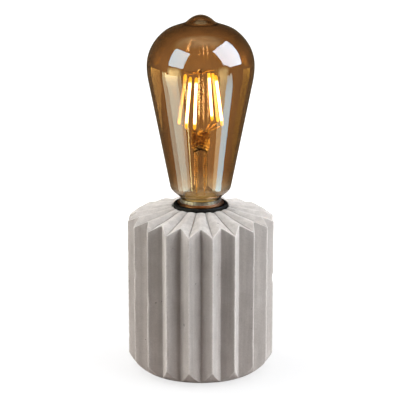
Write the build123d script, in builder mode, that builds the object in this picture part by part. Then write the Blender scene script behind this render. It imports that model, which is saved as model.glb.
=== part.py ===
"""Pleated concrete table lamp with an E27 lampholder and an ST64 filament bulb.

Millimetres, +Z up. The origin is on the surface the lamp stands on, in the middle
of the casting. The front of the lamp faces -Y and the cable leaves at the back, +Y.
"""

import os
from math import acos, cos, degrees, radians, sin

from build123d import *

# Concrete casting
pleat_count = 20
ridge_radius = 45.0
valley_radius = 38.6
ridge_top_height = 93.1
valley_top_height = 97.7
well_clearance = 0.6
well_rim_height = 101.6
foot_radius = 37.0
foot_rim = 4.0
bevel_height = 9.4
bevel_bulge = 0.9
casting_lift = 0.6
cavity_radius = 24.0
web_bottom = 36.0
web_thickness = 10.0

# Base plate, pad and their fasteners
pad_thickness = 1.8
pad_margin = 0.6
plate_thickness = 2.0
plate_clearance = 0.4
base_screw_count = 3
base_screw_radius = 1.45
base_screw_length = 8.0
base_screw_head_radius = 2.6
base_screw_head_height = 1.1
hex_key_width = 2.0
hex_key_depth = 0.7
insert_radius = 2.8
insert_length = 9.0
screw_clearance = 0.1

# Cable inlet
inlet_height = 16.0
inlet_bore_radius = 3.6
inlet_sleeve_radius = 4.9
inlet_flange_radius = 6.6
inlet_flange_thickness = 1.6
inlet_sink = 2.2
inlet_clearance = 0.1

# Threaded tube that clamps the lampholder to the web
tube_radius = 4.95
tube_bore_radius = 3.75
tube_overhang = 1.2
tube_clearance = 0.1
web_hole_clearance = 0.4
washer_radius = 11.0
washer_thickness = 1.6
lock_washer_radius = 8.2
lock_washer_thickness = 0.8
lock_washer_teeth = 12
nut_width = 15.0
nut_thickness = 3.6
seat_washer_radius = 11.5
seat_washer_thickness = 1.2

# Lampholder
holder_height = 55.6
dome_neck_radius = 9.0
dome_neck_height = 4.0
dome_shoulder = 11.0
dome_height = 14.3
dome_wall = 2.2
boss_height = 9.3
boss_radius = 7.4
spigot_wall = 1.3
spigot_height = 5.0
grub_radius = 1.5
sleeve_wall = 1.25
sleeve_skirt_wall = 1.1
collar_wall = 0.8
collar_lip = 1.8
collar_height = 9.0
collar_grooves = 36
holder_clearance = 0.1

# Contact block and contacts
core_flange = 2.5
core_neck = 4.0
core_depth = 4.5
shell_wall = 0.5
shell_height = 22.0
shell_floor_bore = 8.0
shell_clearance = 0.25
contact_reach = 3.0
plunger_radius = 3.2
plunger_head = 1.8
plunger_stem_radius = 1.2
plunger_clearance = 0.4
stem_clearance = 0.06
plunger_travel = 1.0
spring_radius = 2.4
spring_wire_radius = 0.25
spring_turns = 4
strip_width = 5.0
strip_thickness = 0.8
terminal_offset = 9.0
terminal_length = 5.0
terminal_width = 6.0
terminal_height = 5.5
terminal_clearance = 0.15
terminal_bore_radius = 1.3
terminal_screw_radius = 1.25
terminal_screw_head_radius = 2.0
terminal_screw_head = 1.2
rivet_count = 3
rivet_radius = 1.1
rivet_head_radius = 1.9
rivet_head = 0.7

# Edison screw thread of the bulb cap and the shell
thread_pitch = 3.629
thread_depth = 1.05
thread_crest = 0.35
thread_flank = 0.9
thread_clearance = 0.3
thread_root = 0.2
cap_minor_radius = 12.15
cap_thread_turns = 4.1
shell_thread_turns = 4.5

# Bulb cap
cap_length = 28.2
cap_wall = 0.8
cap_skirt_radius = 13.2
cap_skirt_wall = 0.6
cap_skirt_height = 4.6
cap_skirt_flare = 1.3
cap_rim_radius = 14.1
cap_rim_height = 1.6
cap_rim_lip = 0.3
cap_rim_wall = 0.35
crimp_height = 1.8
crimp_wall = 0.4
crimp_count = 36
crimp_depth = 0.25
cement_thickness = 0.6
cement_clearance = 0.05
cap_bottom = 4.6
cap_thread_lead = 1.4
tip_radius = 3.2
tip_thickness = 1.0
tip_bevel = 0.5
tip_rivet_radius = 1.0
tip_rivet_length = 4.0
insulator_foot_radius = 4.6
insulator_rim = 2.0
insulator_clearance = 0.15
board_height = 30.2
board_thickness = 1.2
capacitor_radius = 3.2
capacitor_length = 6.5
chip_length = 5.0
chip_width = 4.0
chip_height = 1.6

# Bulb glass, measured up from the tip of the cap
bulb_length = 141.2
bulb_radius = 32.0
bulb_waist_height = 111.0
waist_blend_height = 9.0
waist_blend_depth = 0.87
taper_radius = 18.4
taper_height = 37.5
neck_seat = 0.1
shoulder_start = 0.22
shoulder_end = 0.5
glass_wall = 0.9
dome_rise = 27.4
crown_radius = 22.0
pip_foot_radius = 10.9
pip_foot_drop = 5.35
pip_foot_lean = 20.0
pip_radius = 9.0
pip_drop = 4.5
pip_lean = 29.0
pip_fullness = 0.54

# Glass mount, filaments and wires, measured up from the tip of the cap
stem_radius = 4.4
stem_wall = 0.9
flare_clearance = 0.2
flare_height = 31.6
flare_rise = 7.0
press_height = 58.0
press_rise = 5.0
press_width = 11.0
press_thickness = 4.0
press_length = 8.0
rod_radius = 1.35
rod_top = 107.0
bead_radius = 2.0
filament_azimuths = (-97.0, -41.0, -16.0, 78.0, 128.0, 148.0)
filament_radius = 1.0
filament_top_ring_radius = 9.1
filament_top_height = 105.5
filament_foot_ring_radius = 13.2
filament_foot_height = 75.0
wire_radius = 0.3
wire_gap = 0.35
wire_spacing = 1.2
lead_spread = 2.4

# Heights that follow from the stack
web_top = web_bottom + web_thickness
plate_bottom = pad_thickness
plate_top = plate_bottom + plate_thickness
holder_bottom = web_top + seat_washer_thickness
holder_top = holder_bottom + holder_height
dome_top = holder_bottom + dome_height
spigot_top = dome_top + spigot_height
flange_top = spigot_top + core_flange
core_top = flange_top + core_neck
core_bottom = spigot_top - core_depth
sleeve_top = holder_top - collar_lip
bulb_seat = core_top + contact_reach
cap_top = bulb_seat + cap_length
glass_tip = bulb_seat + bulb_length
insulator_top = bulb_seat + cap_bottom + insulator_rim
strip_top = core_bottom + terminal_height

# Radii that follow from the fits, from the thread outwards
cap_bore = cap_minor_radius - cap_wall
cap_major_radius = cap_minor_radius + thread_depth
shell_bore = cap_major_radius + thread_clearance
shell_radius = shell_bore + shell_wall
sleeve_bore_radius = shell_radius + shell_clearance
holder_radius = sleeve_bore_radius + sleeve_wall
spigot_radius = holder_radius - sleeve_skirt_wall - holder_clearance
spigot_bore = spigot_radius - spigot_wall
core_radius = spigot_bore - holder_clearance
collar_bore = holder_radius + holder_clearance
collar_radius = collar_bore + collar_wall
well_radius = collar_radius + well_clearance
skirt_bore = cap_skirt_radius - cap_skirt_wall
neck_radius = skirt_bore - cement_thickness
insulator_radius = cap_bore - insulator_clearance
recess_radius = foot_radius - foot_rim
plate_radius = recess_radius - plate_clearance
base_screw_circle = (cavity_radius + recess_radius) / 2
inlet_face = valley_radius - inlet_sink
half_pleat = 180.0 / pleat_count


def polar(radius, azimuth, height):
    """A point at an azimuth counted from the front of the lamp, towards +X."""
    angle = radians(azimuth)
    return Vector(radius * sin(angle), -radius * cos(angle), height)


def turned(*outline):
    """A piece turned about the lamp's axis from corners of radius and height."""
    with BuildPart() as piece:
        with BuildSketch(Plane.XZ):
            with BuildLine():
                Polyline(*outline, close=True)
            make_face()
        revolve(axis=Axis.Z)
    return piece


def washer(outer, inner, bottom, thickness):
    """A flat ring on the lamp's axis."""
    with BuildPart() as piece:
        with BuildSketch(Plane.XY.offset(bottom)):
            Circle(outer)
            Circle(inner, mode=Mode.SUBTRACT)
        extrude(amount=thickness)
    return piece


def wires(runs, radius):
    """Straight round wires, one for each pair of end points."""
    with BuildPart() as piece:
        for start, end in runs:
            with BuildSketch(Plane(origin=start, z_dir=end - start)):
                Circle(radius)
            extrude(amount=(end - start).length)
    return piece


# Concrete casting: one half pleat, mirrored and repeated round the axis
crest = polar(valley_radius, 0, valley_top_height)
rim = polar(well_radius, 0, well_rim_height)
ridge = polar(ridge_radius, half_pleat, ridge_top_height)
facet = Plane(origin=crest, z_dir=(crest - rim).cross(ridge - rim))
with BuildPart() as pleat:
    with BuildSketch(Plane.XY):
        with BuildLine():
            Polyline((0, 0), (crest.X, crest.Y), (ridge.X, ridge.Y), close=True)
        make_face()
    extrude(amount=2 * well_rim_height)
    split(bisect_by=facet, keep=Keep.BOTTOM if facet.z_dir.Z > 0 else Keep.TOP)
    mirror(about=Plane.YZ)

bevel_foot = Vector(foot_radius, casting_lift)
bevel_top = Vector(ridge_radius, casting_lift + bevel_height)
bevel_run = bevel_top - bevel_foot
bevel_middle = bevel_foot + bevel_run * 0.5 + Vector(bevel_run.Y, -bevel_run.X).normalized() * bevel_bulge
bevel_margin = bevel_run * 0.2
with BuildPart() as concrete_body:
    with PolarLocations(0, pleat_count):
        add(pleat.part)
    with BuildSketch(Plane.XZ):
        with BuildLine():
            ThreePointArc(bevel_foot, bevel_middle, bevel_top)
            Polyline(
                bevel_top,
                bevel_top + bevel_margin,
                (bevel_top.X + bevel_margin.X, 2 * well_rim_height),
                (0, 2 * well_rim_height),
                (0, casting_lift),
                bevel_foot,
            )
        make_face()
    revolve(axis=Axis.Z, mode=Mode.INTERSECT)
    with BuildSketch(Plane.XY.offset(web_top)):
        Circle(well_radius)
    extrude(amount=2 * well_rim_height, mode=Mode.SUBTRACT)
    with BuildSketch(Plane.XY):
        Circle(recess_radius)
    extrude(amount=plate_top, mode=Mode.SUBTRACT)
    with BuildSketch(Plane.XY):
        Circle(cavity_radius)
    extrude(amount=web_bottom, mode=Mode.SUBTRACT)
    with BuildSketch(Plane.XY):
        Circle(tube_radius + web_hole_clearance)
    extrude(amount=web_top, mode=Mode.SUBTRACT)
    with BuildSketch(Plane.XY.offset(plate_top)):
        with PolarLocations(base_screw_circle, base_screw_count):
            Circle(insert_radius + screw_clearance)
    extrude(amount=insert_length, mode=Mode.SUBTRACT)
    with BuildSketch(Plane(origin=(0, 0, inlet_height), x_dir=(-1, 0, 0), z_dir=(0, 1, 0))):
        Circle(inlet_sleeve_radius + inlet_clearance)
    extrude(amount=ridge_radius, mode=Mode.SUBTRACT)
    with BuildSketch(Plane(origin=(0, inlet_face, inlet_height), x_dir=(-1, 0, 0), z_dir=(0, 1, 0))):
        Circle(inlet_flange_radius + inlet_clearance)
    extrude(amount=ridge_radius, mode=Mode.SUBTRACT)

# Base plate with its screws, inserts and felt pad
with BuildPart() as base_plate:
    with BuildSketch(Plane.XY.offset(plate_bottom)):
        Circle(plate_radius)
        with PolarLocations(base_screw_circle, base_screw_count):
            Circle(base_screw_radius + screw_clearance, mode=Mode.SUBTRACT)
    extrude(amount=plate_thickness)
    plate_rim = base_plate.edges().filter_by(GeomType.CIRCLE).group_by(SortBy.RADIUS)[-1]
    chamfer(plate_rim, 0.15 * plate_thickness)

with BuildPart() as felt_pad:
    with BuildSketch(Plane.XY):
        Circle(plate_radius - pad_margin)
        with PolarLocations(base_screw_circle, base_screw_count):
            Circle(base_screw_head_radius + plate_clearance, mode=Mode.SUBTRACT)
    extrude(amount=pad_thickness)

with BuildPart() as base_screws:
    with BuildSketch(Plane.XY.offset(plate_bottom)):
        with PolarLocations(base_screw_circle, base_screw_count):
            Circle(base_screw_radius)
    extrude(amount=base_screw_length)
    with BuildSketch(Plane.XY.offset(plate_bottom)):
        with PolarLocations(base_screw_circle, base_screw_count):
            Circle(base_screw_head_radius)
    extrude(amount=-base_screw_head_height)
    with BuildSketch(Plane.XY.offset(plate_bottom - base_screw_head_height)):
        with PolarLocations(base_screw_circle, base_screw_count):
            RegularPolygon(hex_key_width / 2, 6, major_radius=False)
    extrude(amount=hex_key_depth, mode=Mode.SUBTRACT)

with BuildPart() as threaded_inserts:
    with BuildSketch(Plane.XY.offset(plate_top)):
        with PolarLocations(base_screw_circle, base_screw_count):
            Circle(insert_radius)
            Circle(base_screw_radius + screw_clearance, mode=Mode.SUBTRACT)
    extrude(amount=insert_length)

# Cable grommet in the back wall
grommet_inner_end = cavity_radius - plate_clearance
with BuildPart() as cable_grommet:
    with BuildSketch(Plane(origin=(0, grommet_inner_end, inlet_height), x_dir=(-1, 0, 0), z_dir=(0, 1, 0))):
        Circle(inlet_sleeve_radius)
    extrude(amount=inlet_face - grommet_inner_end)
    with BuildSketch(Plane(origin=(0, inlet_face, inlet_height), x_dir=(-1, 0, 0), z_dir=(0, 1, 0))):
        Circle(inlet_flange_radius)
    extrude(amount=inlet_flange_thickness)
    outer_rim = cable_grommet.edges().filter_by(GeomType.CIRCLE).sort_by(Axis.Y)[-1]
    fillet(outer_rim, 0.4 * inlet_flange_thickness)
    with BuildSketch(Plane(origin=(0, grommet_inner_end, inlet_height), x_dir=(-1, 0, 0), z_dir=(0, 1, 0))):
        Circle(inlet_bore_radius)
    extrude(amount=inlet_face + inlet_flange_thickness - grommet_inner_end, mode=Mode.SUBTRACT)

# Threaded tube, nut and washers on the web
tube_hole = tube_radius + tube_clearance
nut_top = web_bottom - washer_thickness - lock_washer_thickness
tube_bottom = nut_top - nut_thickness - tube_overhang
threaded_tube = washer(tube_radius, tube_bore_radius, tube_bottom, holder_bottom + boss_height - tube_bottom)
tube_washer = washer(washer_radius, tube_hole, web_bottom - washer_thickness, washer_thickness)
seat_washer = washer(seat_washer_radius, tube_hole, web_top, seat_washer_thickness)

with BuildPart() as lock_washer:
    with BuildSketch(Plane.XY.offset(nut_top)):
        Circle(lock_washer_radius)
        with PolarLocations(lock_washer_radius, lock_washer_teeth):
            Circle(0.1 * lock_washer_radius, mode=Mode.SUBTRACT)
        Circle(tube_hole, mode=Mode.SUBTRACT)
    extrude(amount=lock_washer_thickness)

with BuildPart() as tube_nut:
    with BuildSketch(Plane.XY.offset(nut_top)):
        RegularPolygon(nut_width / 2, 6, major_radius=False)
        Circle(tube_hole, mode=Mode.SUBTRACT)
    extrude(amount=-nut_thickness)

# Lampholder housing
neck_top = holder_bottom + dome_neck_height
shoulder_z = holder_bottom + dome_shoulder
boss_top = holder_bottom + boss_height
grub_height = holder_bottom + dome_neck_height / 2
dome_slope = (holder_radius - dome_neck_radius) / (shoulder_z - neck_top)
dome_inner_top = shoulder_z + (spigot_bore - holder_radius + dome_wall * (1 + dome_slope)) / dome_slope
dome_floor = dome_inner_top - (spigot_bore - boss_radius) / dome_slope
with BuildPart() as holder_dome:
    with BuildSketch(Plane.XZ):
        with BuildLine():
            Polyline(
                (tube_hole, holder_bottom),
                (dome_neck_radius, holder_bottom),
                (dome_neck_radius, neck_top),
                (holder_radius, shoulder_z),
                (holder_radius, dome_top),
                (spigot_radius, dome_top),
                (spigot_radius, spigot_top),
                (spigot_bore, spigot_top),
                (spigot_bore, dome_inner_top),
                (boss_radius, dome_floor),
                (boss_radius, boss_top),
                (tube_hole, boss_top),
                close=True,
            )
        make_face()
    revolve(axis=Axis.Z)
    with BuildSketch(Plane.XZ.offset(0)):
        with Locations((0, grub_height)):
            Circle(grub_radius + screw_clearance)
    extrude(amount=dome_neck_radius, mode=Mode.SUBTRACT)

grub_length = dome_neck_radius - tube_hole
with BuildPart() as dome_grub_screw:
    with BuildSketch(Plane.XZ.offset(tube_hole)):
        with Locations((0, grub_height)):
            Circle(grub_radius)
    extrude(amount=grub_length)
    with BuildSketch(Plane.XZ.offset(dome_neck_radius)):
        with Locations((0, grub_height)):
            Rectangle(2 * grub_radius, 0.3 * grub_radius)
    extrude(amount=-0.25 * grub_length, mode=Mode.SUBTRACT)

holder_sleeve = turned(
    (spigot_radius + holder_clearance, dome_top),
    (holder_radius, dome_top),
    (holder_radius, sleeve_top),
    (sleeve_bore_radius, sleeve_top),
    (sleeve_bore_radius, flange_top),
    (spigot_radius + holder_clearance, flange_top),
)

with BuildPart() as holder_collar:
    with BuildSketch(Plane.XZ):
        with BuildLine():
            Polyline(
                (collar_bore, holder_top - collar_height),
                (collar_radius, holder_top - collar_height),
                (collar_radius, holder_top),
                (sleeve_bore_radius, holder_top),
                (sleeve_bore_radius, sleeve_top),
                (collar_bore, sleeve_top),
                close=True,
            )
        make_face()
    revolve(axis=Axis.Z)
    top_rims = holder_collar.edges().filter_by(GeomType.CIRCLE).group_by(Axis.Z)[-1]
    fillet(top_rims, 0.3 * collar_lip)
    with BuildSketch(Plane.XY.offset(holder_top - collar_height)):
        with PolarLocations(collar_radius, collar_grooves):
            Circle(0.3 * (collar_radius - collar_bore))
    extrude(amount=collar_height - collar_lip, mode=Mode.SUBTRACT)

# Contact block
pocket_radius = plunger_radius + plunger_clearance
strip_floor = strip_top - strip_thickness
terminal_middle = core_bottom + 0.5 * terminal_height
rivet_circle = (shell_floor_bore + shell_bore) / 2
with BuildPart() as contact_block:
    with BuildSketch(Plane.XY.offset(core_bottom)):
        Circle(core_radius)
    extrude(amount=core_top - core_bottom)
    with BuildSketch(Plane.XY.offset(spigot_top)):
        Circle(spigot_radius)
    extrude(amount=core_flange)
    with BuildSketch(Plane.XY.offset(strip_top)):
        Circle(pocket_radius)
    extrude(amount=core_top - strip_top, mode=Mode.SUBTRACT)
    with BuildSketch(Plane.XY.offset(core_bottom)):
        Circle(plunger_stem_radius + stem_clearance)
    extrude(amount=core_top - core_bottom, mode=Mode.SUBTRACT)
    with BuildSketch(Plane.XY.offset(core_bottom)):
        with Locations((terminal_offset, 0), (-terminal_offset, 0)):
            Rectangle(terminal_length + 2 * terminal_clearance, terminal_width + 2 * terminal_clearance)
    extrude(amount=terminal_height, mode=Mode.SUBTRACT)
    with BuildSketch(Plane.XY.offset(strip_floor)):
        with Locations((-terminal_offset / 2, 0)):
            Rectangle(terminal_offset + 2 * pocket_radius, strip_width + 2 * terminal_clearance)
    extrude(amount=strip_thickness, mode=Mode.SUBTRACT)
    with BuildSketch(Plane.XY.offset(strip_top)):
        with PolarLocations(rivet_circle, rivet_count):
            Circle(rivet_radius + screw_clearance)
    extrude(amount=core_top - strip_top, mode=Mode.SUBTRACT)
    with BuildSketch(Plane.XZ.offset(terminal_width / 2)):
        with Locations((terminal_offset, terminal_middle), (-terminal_offset, terminal_middle)):
            Circle(terminal_screw_head_radius + terminal_clearance)
    extrude(amount=core_radius, mode=Mode.SUBTRACT)

# Terminals: the live one carries a strip under the contact spring


def terminal(side, strip):
    """A brass terminal with a wire hole from below and a screw hole from the front."""
    with BuildPart() as piece:
        with BuildSketch(Plane.XY.offset(core_bottom)):
            with Locations((side * terminal_offset, 0)):
                Rectangle(terminal_length, terminal_width)
        extrude(amount=terminal_height)
        if strip:
            with BuildSketch(Plane.XY.offset(strip_floor)):
                with Locations((side * terminal_offset / 2, 0)):
                    Rectangle(terminal_offset + 2 * plunger_radius, strip_width)
            extrude(amount=strip_thickness)
            with BuildSketch(Plane.XY.offset(strip_floor)):
                Circle(plunger_stem_radius + stem_clearance + plunger_clearance)
            extrude(amount=strip_thickness, mode=Mode.SUBTRACT)
        with BuildSketch(Plane.XY.offset(core_bottom)):
            with Locations((side * terminal_offset, 0)):
                Circle(terminal_bore_radius)
        extrude(amount=0.8 * terminal_height, mode=Mode.SUBTRACT)
        with BuildSketch(Plane.XZ):
            with Locations((side * terminal_offset, terminal_middle)):
                Circle(terminal_screw_radius + screw_clearance)
        extrude(amount=terminal_width, mode=Mode.SUBTRACT)
    return piece


live_terminal = terminal(-1, strip=True)
neutral_terminal = terminal(1, strip=False)

with BuildPart() as terminal_screws:
    for side in (-1, 1):
        with BuildSketch(Plane.XZ.offset(terminal_bore_radius)):
            with Locations((side * terminal_offset, terminal_middle)):
                Circle(terminal_screw_radius)
        extrude(amount=terminal_width / 2 - terminal_bore_radius)
        with BuildSketch(Plane.XZ.offset(terminal_width / 2)):
            with Locations((side * terminal_offset, terminal_middle)):
                Circle(terminal_screw_head_radius)
                Rectangle(2 * terminal_screw_head_radius, 0.5, mode=Mode.SUBTRACT)
        extrude(amount=terminal_screw_head)

# Rivets hold the threaded shell on the block and one of them carries its current
shell_floor_top = core_top + shell_wall
with BuildPart() as shell_rivets:
    with BuildSketch(Plane.XY.offset(strip_top)):
        with PolarLocations(rivet_circle, rivet_count):
            Circle(rivet_radius)
    extrude(amount=shell_floor_top - strip_top)
    with BuildSketch(Plane.XY.offset(shell_floor_top)):
        with PolarLocations(rivet_circle, rivet_count):
            Circle(rivet_head_radius)
    extrude(amount=rivet_head)

# Threaded shell with an inward ridge, in step with the cap's thread
cap_thread_start = bulb_seat + cap_bottom + cap_thread_lead
shell_thread_start = cap_thread_start - 1.5 * thread_pitch
base_half = thread_crest + thread_flank


def add_thread(radius, start, turns, outwards):
    """Add a helical ridge to the part being built, on a wall of this radius."""
    tip = radius + outwards * thread_depth
    root = radius - outwards * thread_root
    with BuildLine(mode=Mode.PRIVATE) as path:
        Helix(thread_pitch, thread_pitch * turns, radius, center=(0, 0, start))
    with BuildSketch(Plane.XZ, mode=Mode.PRIVATE) as ridge_section:
        with BuildLine():
            Polyline(
                (root, start - base_half),
                (tip, start - thread_crest),
                (tip, start + thread_crest),
                (root, start + base_half),
                close=True,
            )
        make_face()
    sweep(sections=ridge_section.sketch, path=path.line, is_frenet=True)


with BuildPart() as screw_shell:
    with BuildSketch(Plane.XZ):
        with BuildLine():
            Polyline(
                (shell_floor_bore, core_top),
                (shell_radius, core_top),
                (shell_radius, core_top + shell_height),
                (shell_bore, core_top + shell_height),
                (shell_bore, shell_floor_top),
                (shell_floor_bore, shell_floor_top),
                close=True,
            )
        make_face()
    revolve(axis=Axis.Z)
    add_thread(shell_bore, shell_thread_start, shell_thread_turns, -1)
    with BuildSketch(Plane.XY.offset(core_top)):
        with PolarLocations(rivet_circle, rivet_count):
            Circle(rivet_radius + screw_clearance)
    extrude(amount=shell_wall, mode=Mode.SUBTRACT)

# Sprung centre contact
plunger_shoulder = bulb_seat - plunger_head
stem_bottom = core_bottom + plunger_travel
with BuildPart() as contact_plunger:
    with BuildSketch(Plane.XY.offset(plunger_shoulder)):
        Circle(plunger_radius)
    extrude(amount=plunger_head)
    chamfer(contact_plunger.edges().filter_by(GeomType.CIRCLE).sort_by(Axis.Z)[-1], 0.25 * plunger_head)
    with BuildSketch(Plane.XY.offset(stem_bottom)):
        Circle(plunger_stem_radius)
    extrude(amount=plunger_shoulder - stem_bottom)

spring_room = plunger_shoulder - strip_top - 2 * spring_wire_radius
spring_pitch = spring_room / spring_turns
with BuildPart() as contact_spring:
    with BuildLine() as spring_path:
        Helix(spring_pitch, spring_room, spring_radius, center=(0, 0, strip_top + spring_wire_radius))
    with BuildSketch(Plane(origin=spring_path.line @ 0, z_dir=spring_path.line % 0)):
        Circle(spring_wire_radius)
    sweep(is_frenet=True)
print("least gap between the turns of the contact spring", spring_pitch - 2 * spring_wire_radius)

# Bulb cap: contact tip, insulator and threaded metal cap
with BuildPart() as cap_contact:
    with BuildSketch(Plane.XY.offset(bulb_seat)):
        Circle(tip_radius)
    extrude(amount=tip_thickness)
    chamfer(cap_contact.edges().filter_by(GeomType.CIRCLE).sort_by(Axis.Z)[0], tip_bevel)
    with BuildSketch(Plane.XY.offset(bulb_seat + tip_thickness)):
        Circle(tip_rivet_radius)
    extrude(amount=tip_rivet_length)

rivet_hole = tip_rivet_radius + holder_clearance
cap_foot = bulb_seat + cap_bottom
cap_insulator = turned(
    (rivet_hole, bulb_seat + tip_thickness),
    (insulator_foot_radius, bulb_seat + tip_thickness),
    (insulator_radius, cap_foot),
    (insulator_radius, insulator_top),
    (rivet_hole, insulator_top),
)

skirt_bottom = cap_top - cap_skirt_height
rim_bottom = cap_top - cap_rim_height
rim_slope = 0.3 * cap_rim_height
with BuildPart() as screw_cap:
    with BuildSketch(Plane.XZ):
        with BuildLine():
            Polyline(
                (cap_bore, cap_foot),
                (cap_minor_radius, cap_foot),
                (cap_minor_radius, skirt_bottom - cap_skirt_flare),
                (cap_skirt_radius, skirt_bottom),
                (cap_skirt_radius, rim_bottom),
                (cap_rim_radius, rim_bottom + rim_slope),
                (cap_rim_radius, rim_bottom + rim_slope + cap_rim_lip),
                (skirt_bore + cap_rim_wall, cap_top),
                (skirt_bore, cap_top),
                (skirt_bore, skirt_bottom),
                (cap_bore, skirt_bottom - cap_skirt_flare),
                close=True,
            )
        make_face()
    revolve(axis=Axis.Z)
    add_thread(cap_minor_radius, cap_thread_start, cap_thread_turns, 1)

# Crimped ring between the cap and the glass
crimp_bore = neck_radius + cement_clearance
crimp_radius = crimp_bore + crimp_wall
with BuildPart() as crimp_ring:
    with BuildSketch(Plane.XY.offset(cap_top)):
        Circle(crimp_radius)
        Circle(crimp_bore, mode=Mode.SUBTRACT)
        with PolarLocations(crimp_radius, crimp_count):
            Circle(crimp_depth, mode=Mode.SUBTRACT)
    extrude(amount=crimp_height)

# Driver board inside the neck, its components under it
board_radius = neck_radius - glass_wall - flare_clearance
board_bottom = bulb_seat + board_height
board_top = board_bottom + board_thickness
component_offset = 0.4 * board_radius
with BuildPart() as driver_board:
    with BuildSketch(Plane.XY.offset(board_bottom)):
        Circle(board_radius)
    extrude(amount=board_thickness)

with BuildPart() as driver_capacitor:
    with BuildSketch(Plane.XY.offset(board_bottom)):
        with Locations((component_offset, 0)):
            Circle(capacitor_radius)
    extrude(amount=-capacitor_length)
    fillet(driver_capacitor.edges().group_by(Axis.Z)[0], 0.15 * capacitor_radius)

with BuildPart() as driver_chip:
    with BuildSketch(Plane.XY.offset(board_bottom)):
        with Locations((-component_offset, 0)):
            Rectangle(chip_length, chip_width)
    extrude(amount=-chip_height)
    chamfer(driver_chip.edges().group_by(Axis.Z)[0], 0.15 * chip_height)

# Bulb glass
neck_bottom = skirt_bottom + neck_seat
neck_top_height = cap_top + crimp_height + neck_seat


def glass_form(inset, mode):
    """Add or cut the bulb's turned form, drawn in by an inset all round."""
    neck = Vector(neck_radius - inset, neck_top_height)
    taper_foot = Vector(taper_radius - inset, bulb_seat + taper_height)
    waist = Vector(bulb_radius - inset, bulb_seat + bulb_waist_height)
    taper_top = waist - Vector(waist_blend_depth, waist_blend_height)
    taper_run = taper_top - taper_foot
    shoulder_rise = taper_foot.Y - neck.Y
    dome_height_inside = dome_rise - inset
    turn = acos(crown_radius / bulb_radius)
    crown = Vector(waist.X * cos(turn), waist.Y + dome_height_inside * sin(turn))
    crown_run = Vector(-waist.X * sin(turn), dome_height_inside * cos(turn)).normalized()
    tip = Vector(0, glass_tip - inset)
    pip_foot = tip + Vector(pip_foot_radius, -pip_foot_drop)
    foot_run = Vector(-cos(radians(pip_foot_lean)), sin(radians(pip_foot_lean)))
    pip = tip + Vector(pip_radius - 0.5 * inset, -pip_drop)
    pip_run = Vector(-cos(radians(pip_lean)), sin(radians(pip_lean)))
    crown_reach = 0.36 * (pip_foot - crown).length
    foot_reach = 0.4 * (pip - pip_foot).length
    pip_reach = 0.11 * (tip - pip).length
    with BuildSketch(Plane.XZ, mode=Mode.PRIVATE) as outline:
        with BuildLine():
            Line((0, neck_bottom), (neck.X, neck_bottom))
            Line((neck.X, neck_bottom), neck)
            Bezier(
                neck,
                neck + Vector(0, shoulder_start * shoulder_rise),
                taper_foot - taper_run.normalized() * (shoulder_end * shoulder_rise),
                taper_foot,
            )
            Line(taper_foot, taper_top)
            TangentArc(waist, taper_top, tangent=(0, -1))
            EllipticalCenterArc((0, waist.Y), waist.X, dome_height_inside, 0, arc_size=degrees(turn))
            Bezier(crown, crown + crown_run * crown_reach, pip_foot - foot_run * crown_reach, pip_foot)
            Bezier(pip_foot, pip_foot + foot_run * foot_reach, pip - pip_run * foot_reach, pip)
            Bezier(pip, pip + pip_run * pip_reach, tip + Vector(pip_fullness * pip_radius, 0), tip)
            Line(tip, (0, neck_bottom))
        make_face()
    revolve(outline.sketch, axis=Axis.Z, mode=mode)


with BuildPart() as bulb_glass:
    glass_form(0, Mode.ADD)
    glass_form(glass_wall, Mode.SUBTRACT)

cap_cement = washer(
    skirt_bore - cement_clearance,
    neck_radius + cement_clearance,
    neck_bottom,
    cap_top - neck_bottom,
)

# Glass mount inside the bulb
flare_radius = board_radius
flare_bottom = bulb_seat + flare_height
flare_top = flare_bottom + flare_rise
press_bottom = bulb_seat + press_height
press_top = press_bottom + press_rise + press_length
rod_end = bulb_seat + rod_top


def stem_form(inset, mode):
    """Add or cut the flared stem tube, drawn in by an inset."""
    wide = flare_radius - inset
    narrow = stem_radius - inset
    with BuildSketch(Plane.XZ, mode=Mode.PRIVATE) as outline:
        with BuildLine():
            Line((0, flare_bottom), (wide, flare_bottom))
            Bezier(
                (wide, flare_bottom),
                (wide, flare_bottom + 0.3 * flare_rise),
                (narrow, flare_bottom + 0.5 * flare_rise),
                (narrow, flare_top),
            )
            Polyline((narrow, flare_top), (narrow, press_bottom), (0, press_bottom), (0, flare_bottom))
        make_face()
    revolve(outline.sketch, axis=Axis.Z, mode=mode)


with BuildPart() as bulb_stem:
    stem_form(0, Mode.ADD)
    stem_form(stem_wall, Mode.SUBTRACT)
    with BuildSketch(Plane.XY.offset(press_bottom)):
        Circle(stem_radius)
    with BuildSketch(Plane.XY.offset(press_bottom + press_rise)):
        RectangleRounded(press_width, press_thickness, 0.3 * press_thickness)
    loft()
    with BuildSketch(Plane.XY.offset(press_bottom + press_rise)):
        RectangleRounded(press_width, press_thickness, 0.3 * press_thickness)
    extrude(amount=press_length)
    with BuildSketch(Plane.XY.offset(press_top)):
        Circle(rod_radius)
    extrude(amount=rod_end - press_top)
    with Locations((0, 0, rod_end)):
        Sphere(bead_radius)

# Filaments and the wires that carry them
filament_top_z = bulb_seat + filament_top_height
filament_tops = [polar(filament_top_ring_radius, azimuth, filament_top_z) for azimuth in filament_azimuths]
filament_foot_z = bulb_seat + filament_foot_height
filament_feet = [polar(filament_foot_ring_radius, azimuth, filament_foot_z) for azimuth in filament_azimuths]
led_filaments = wires(zip(filament_feet, filament_tops), filament_radius)

wire_height = filament_top_z + filament_radius + wire_radius
loop_radius = bead_radius + wire_gap + wire_radius
upper_runs = []
for azimuth in filament_azimuths:
    start = polar(loop_radius, azimuth, wire_height)
    end = polar(filament_top_ring_radius + filament_radius, azimuth, wire_height)
    upper_runs.append((start, end))
with BuildPart() as upper_wires:
    add(wires(upper_runs, wire_radius).part)
    with Locations((0, 0, wire_height)):
        Torus(loop_radius, wire_radius)

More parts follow.
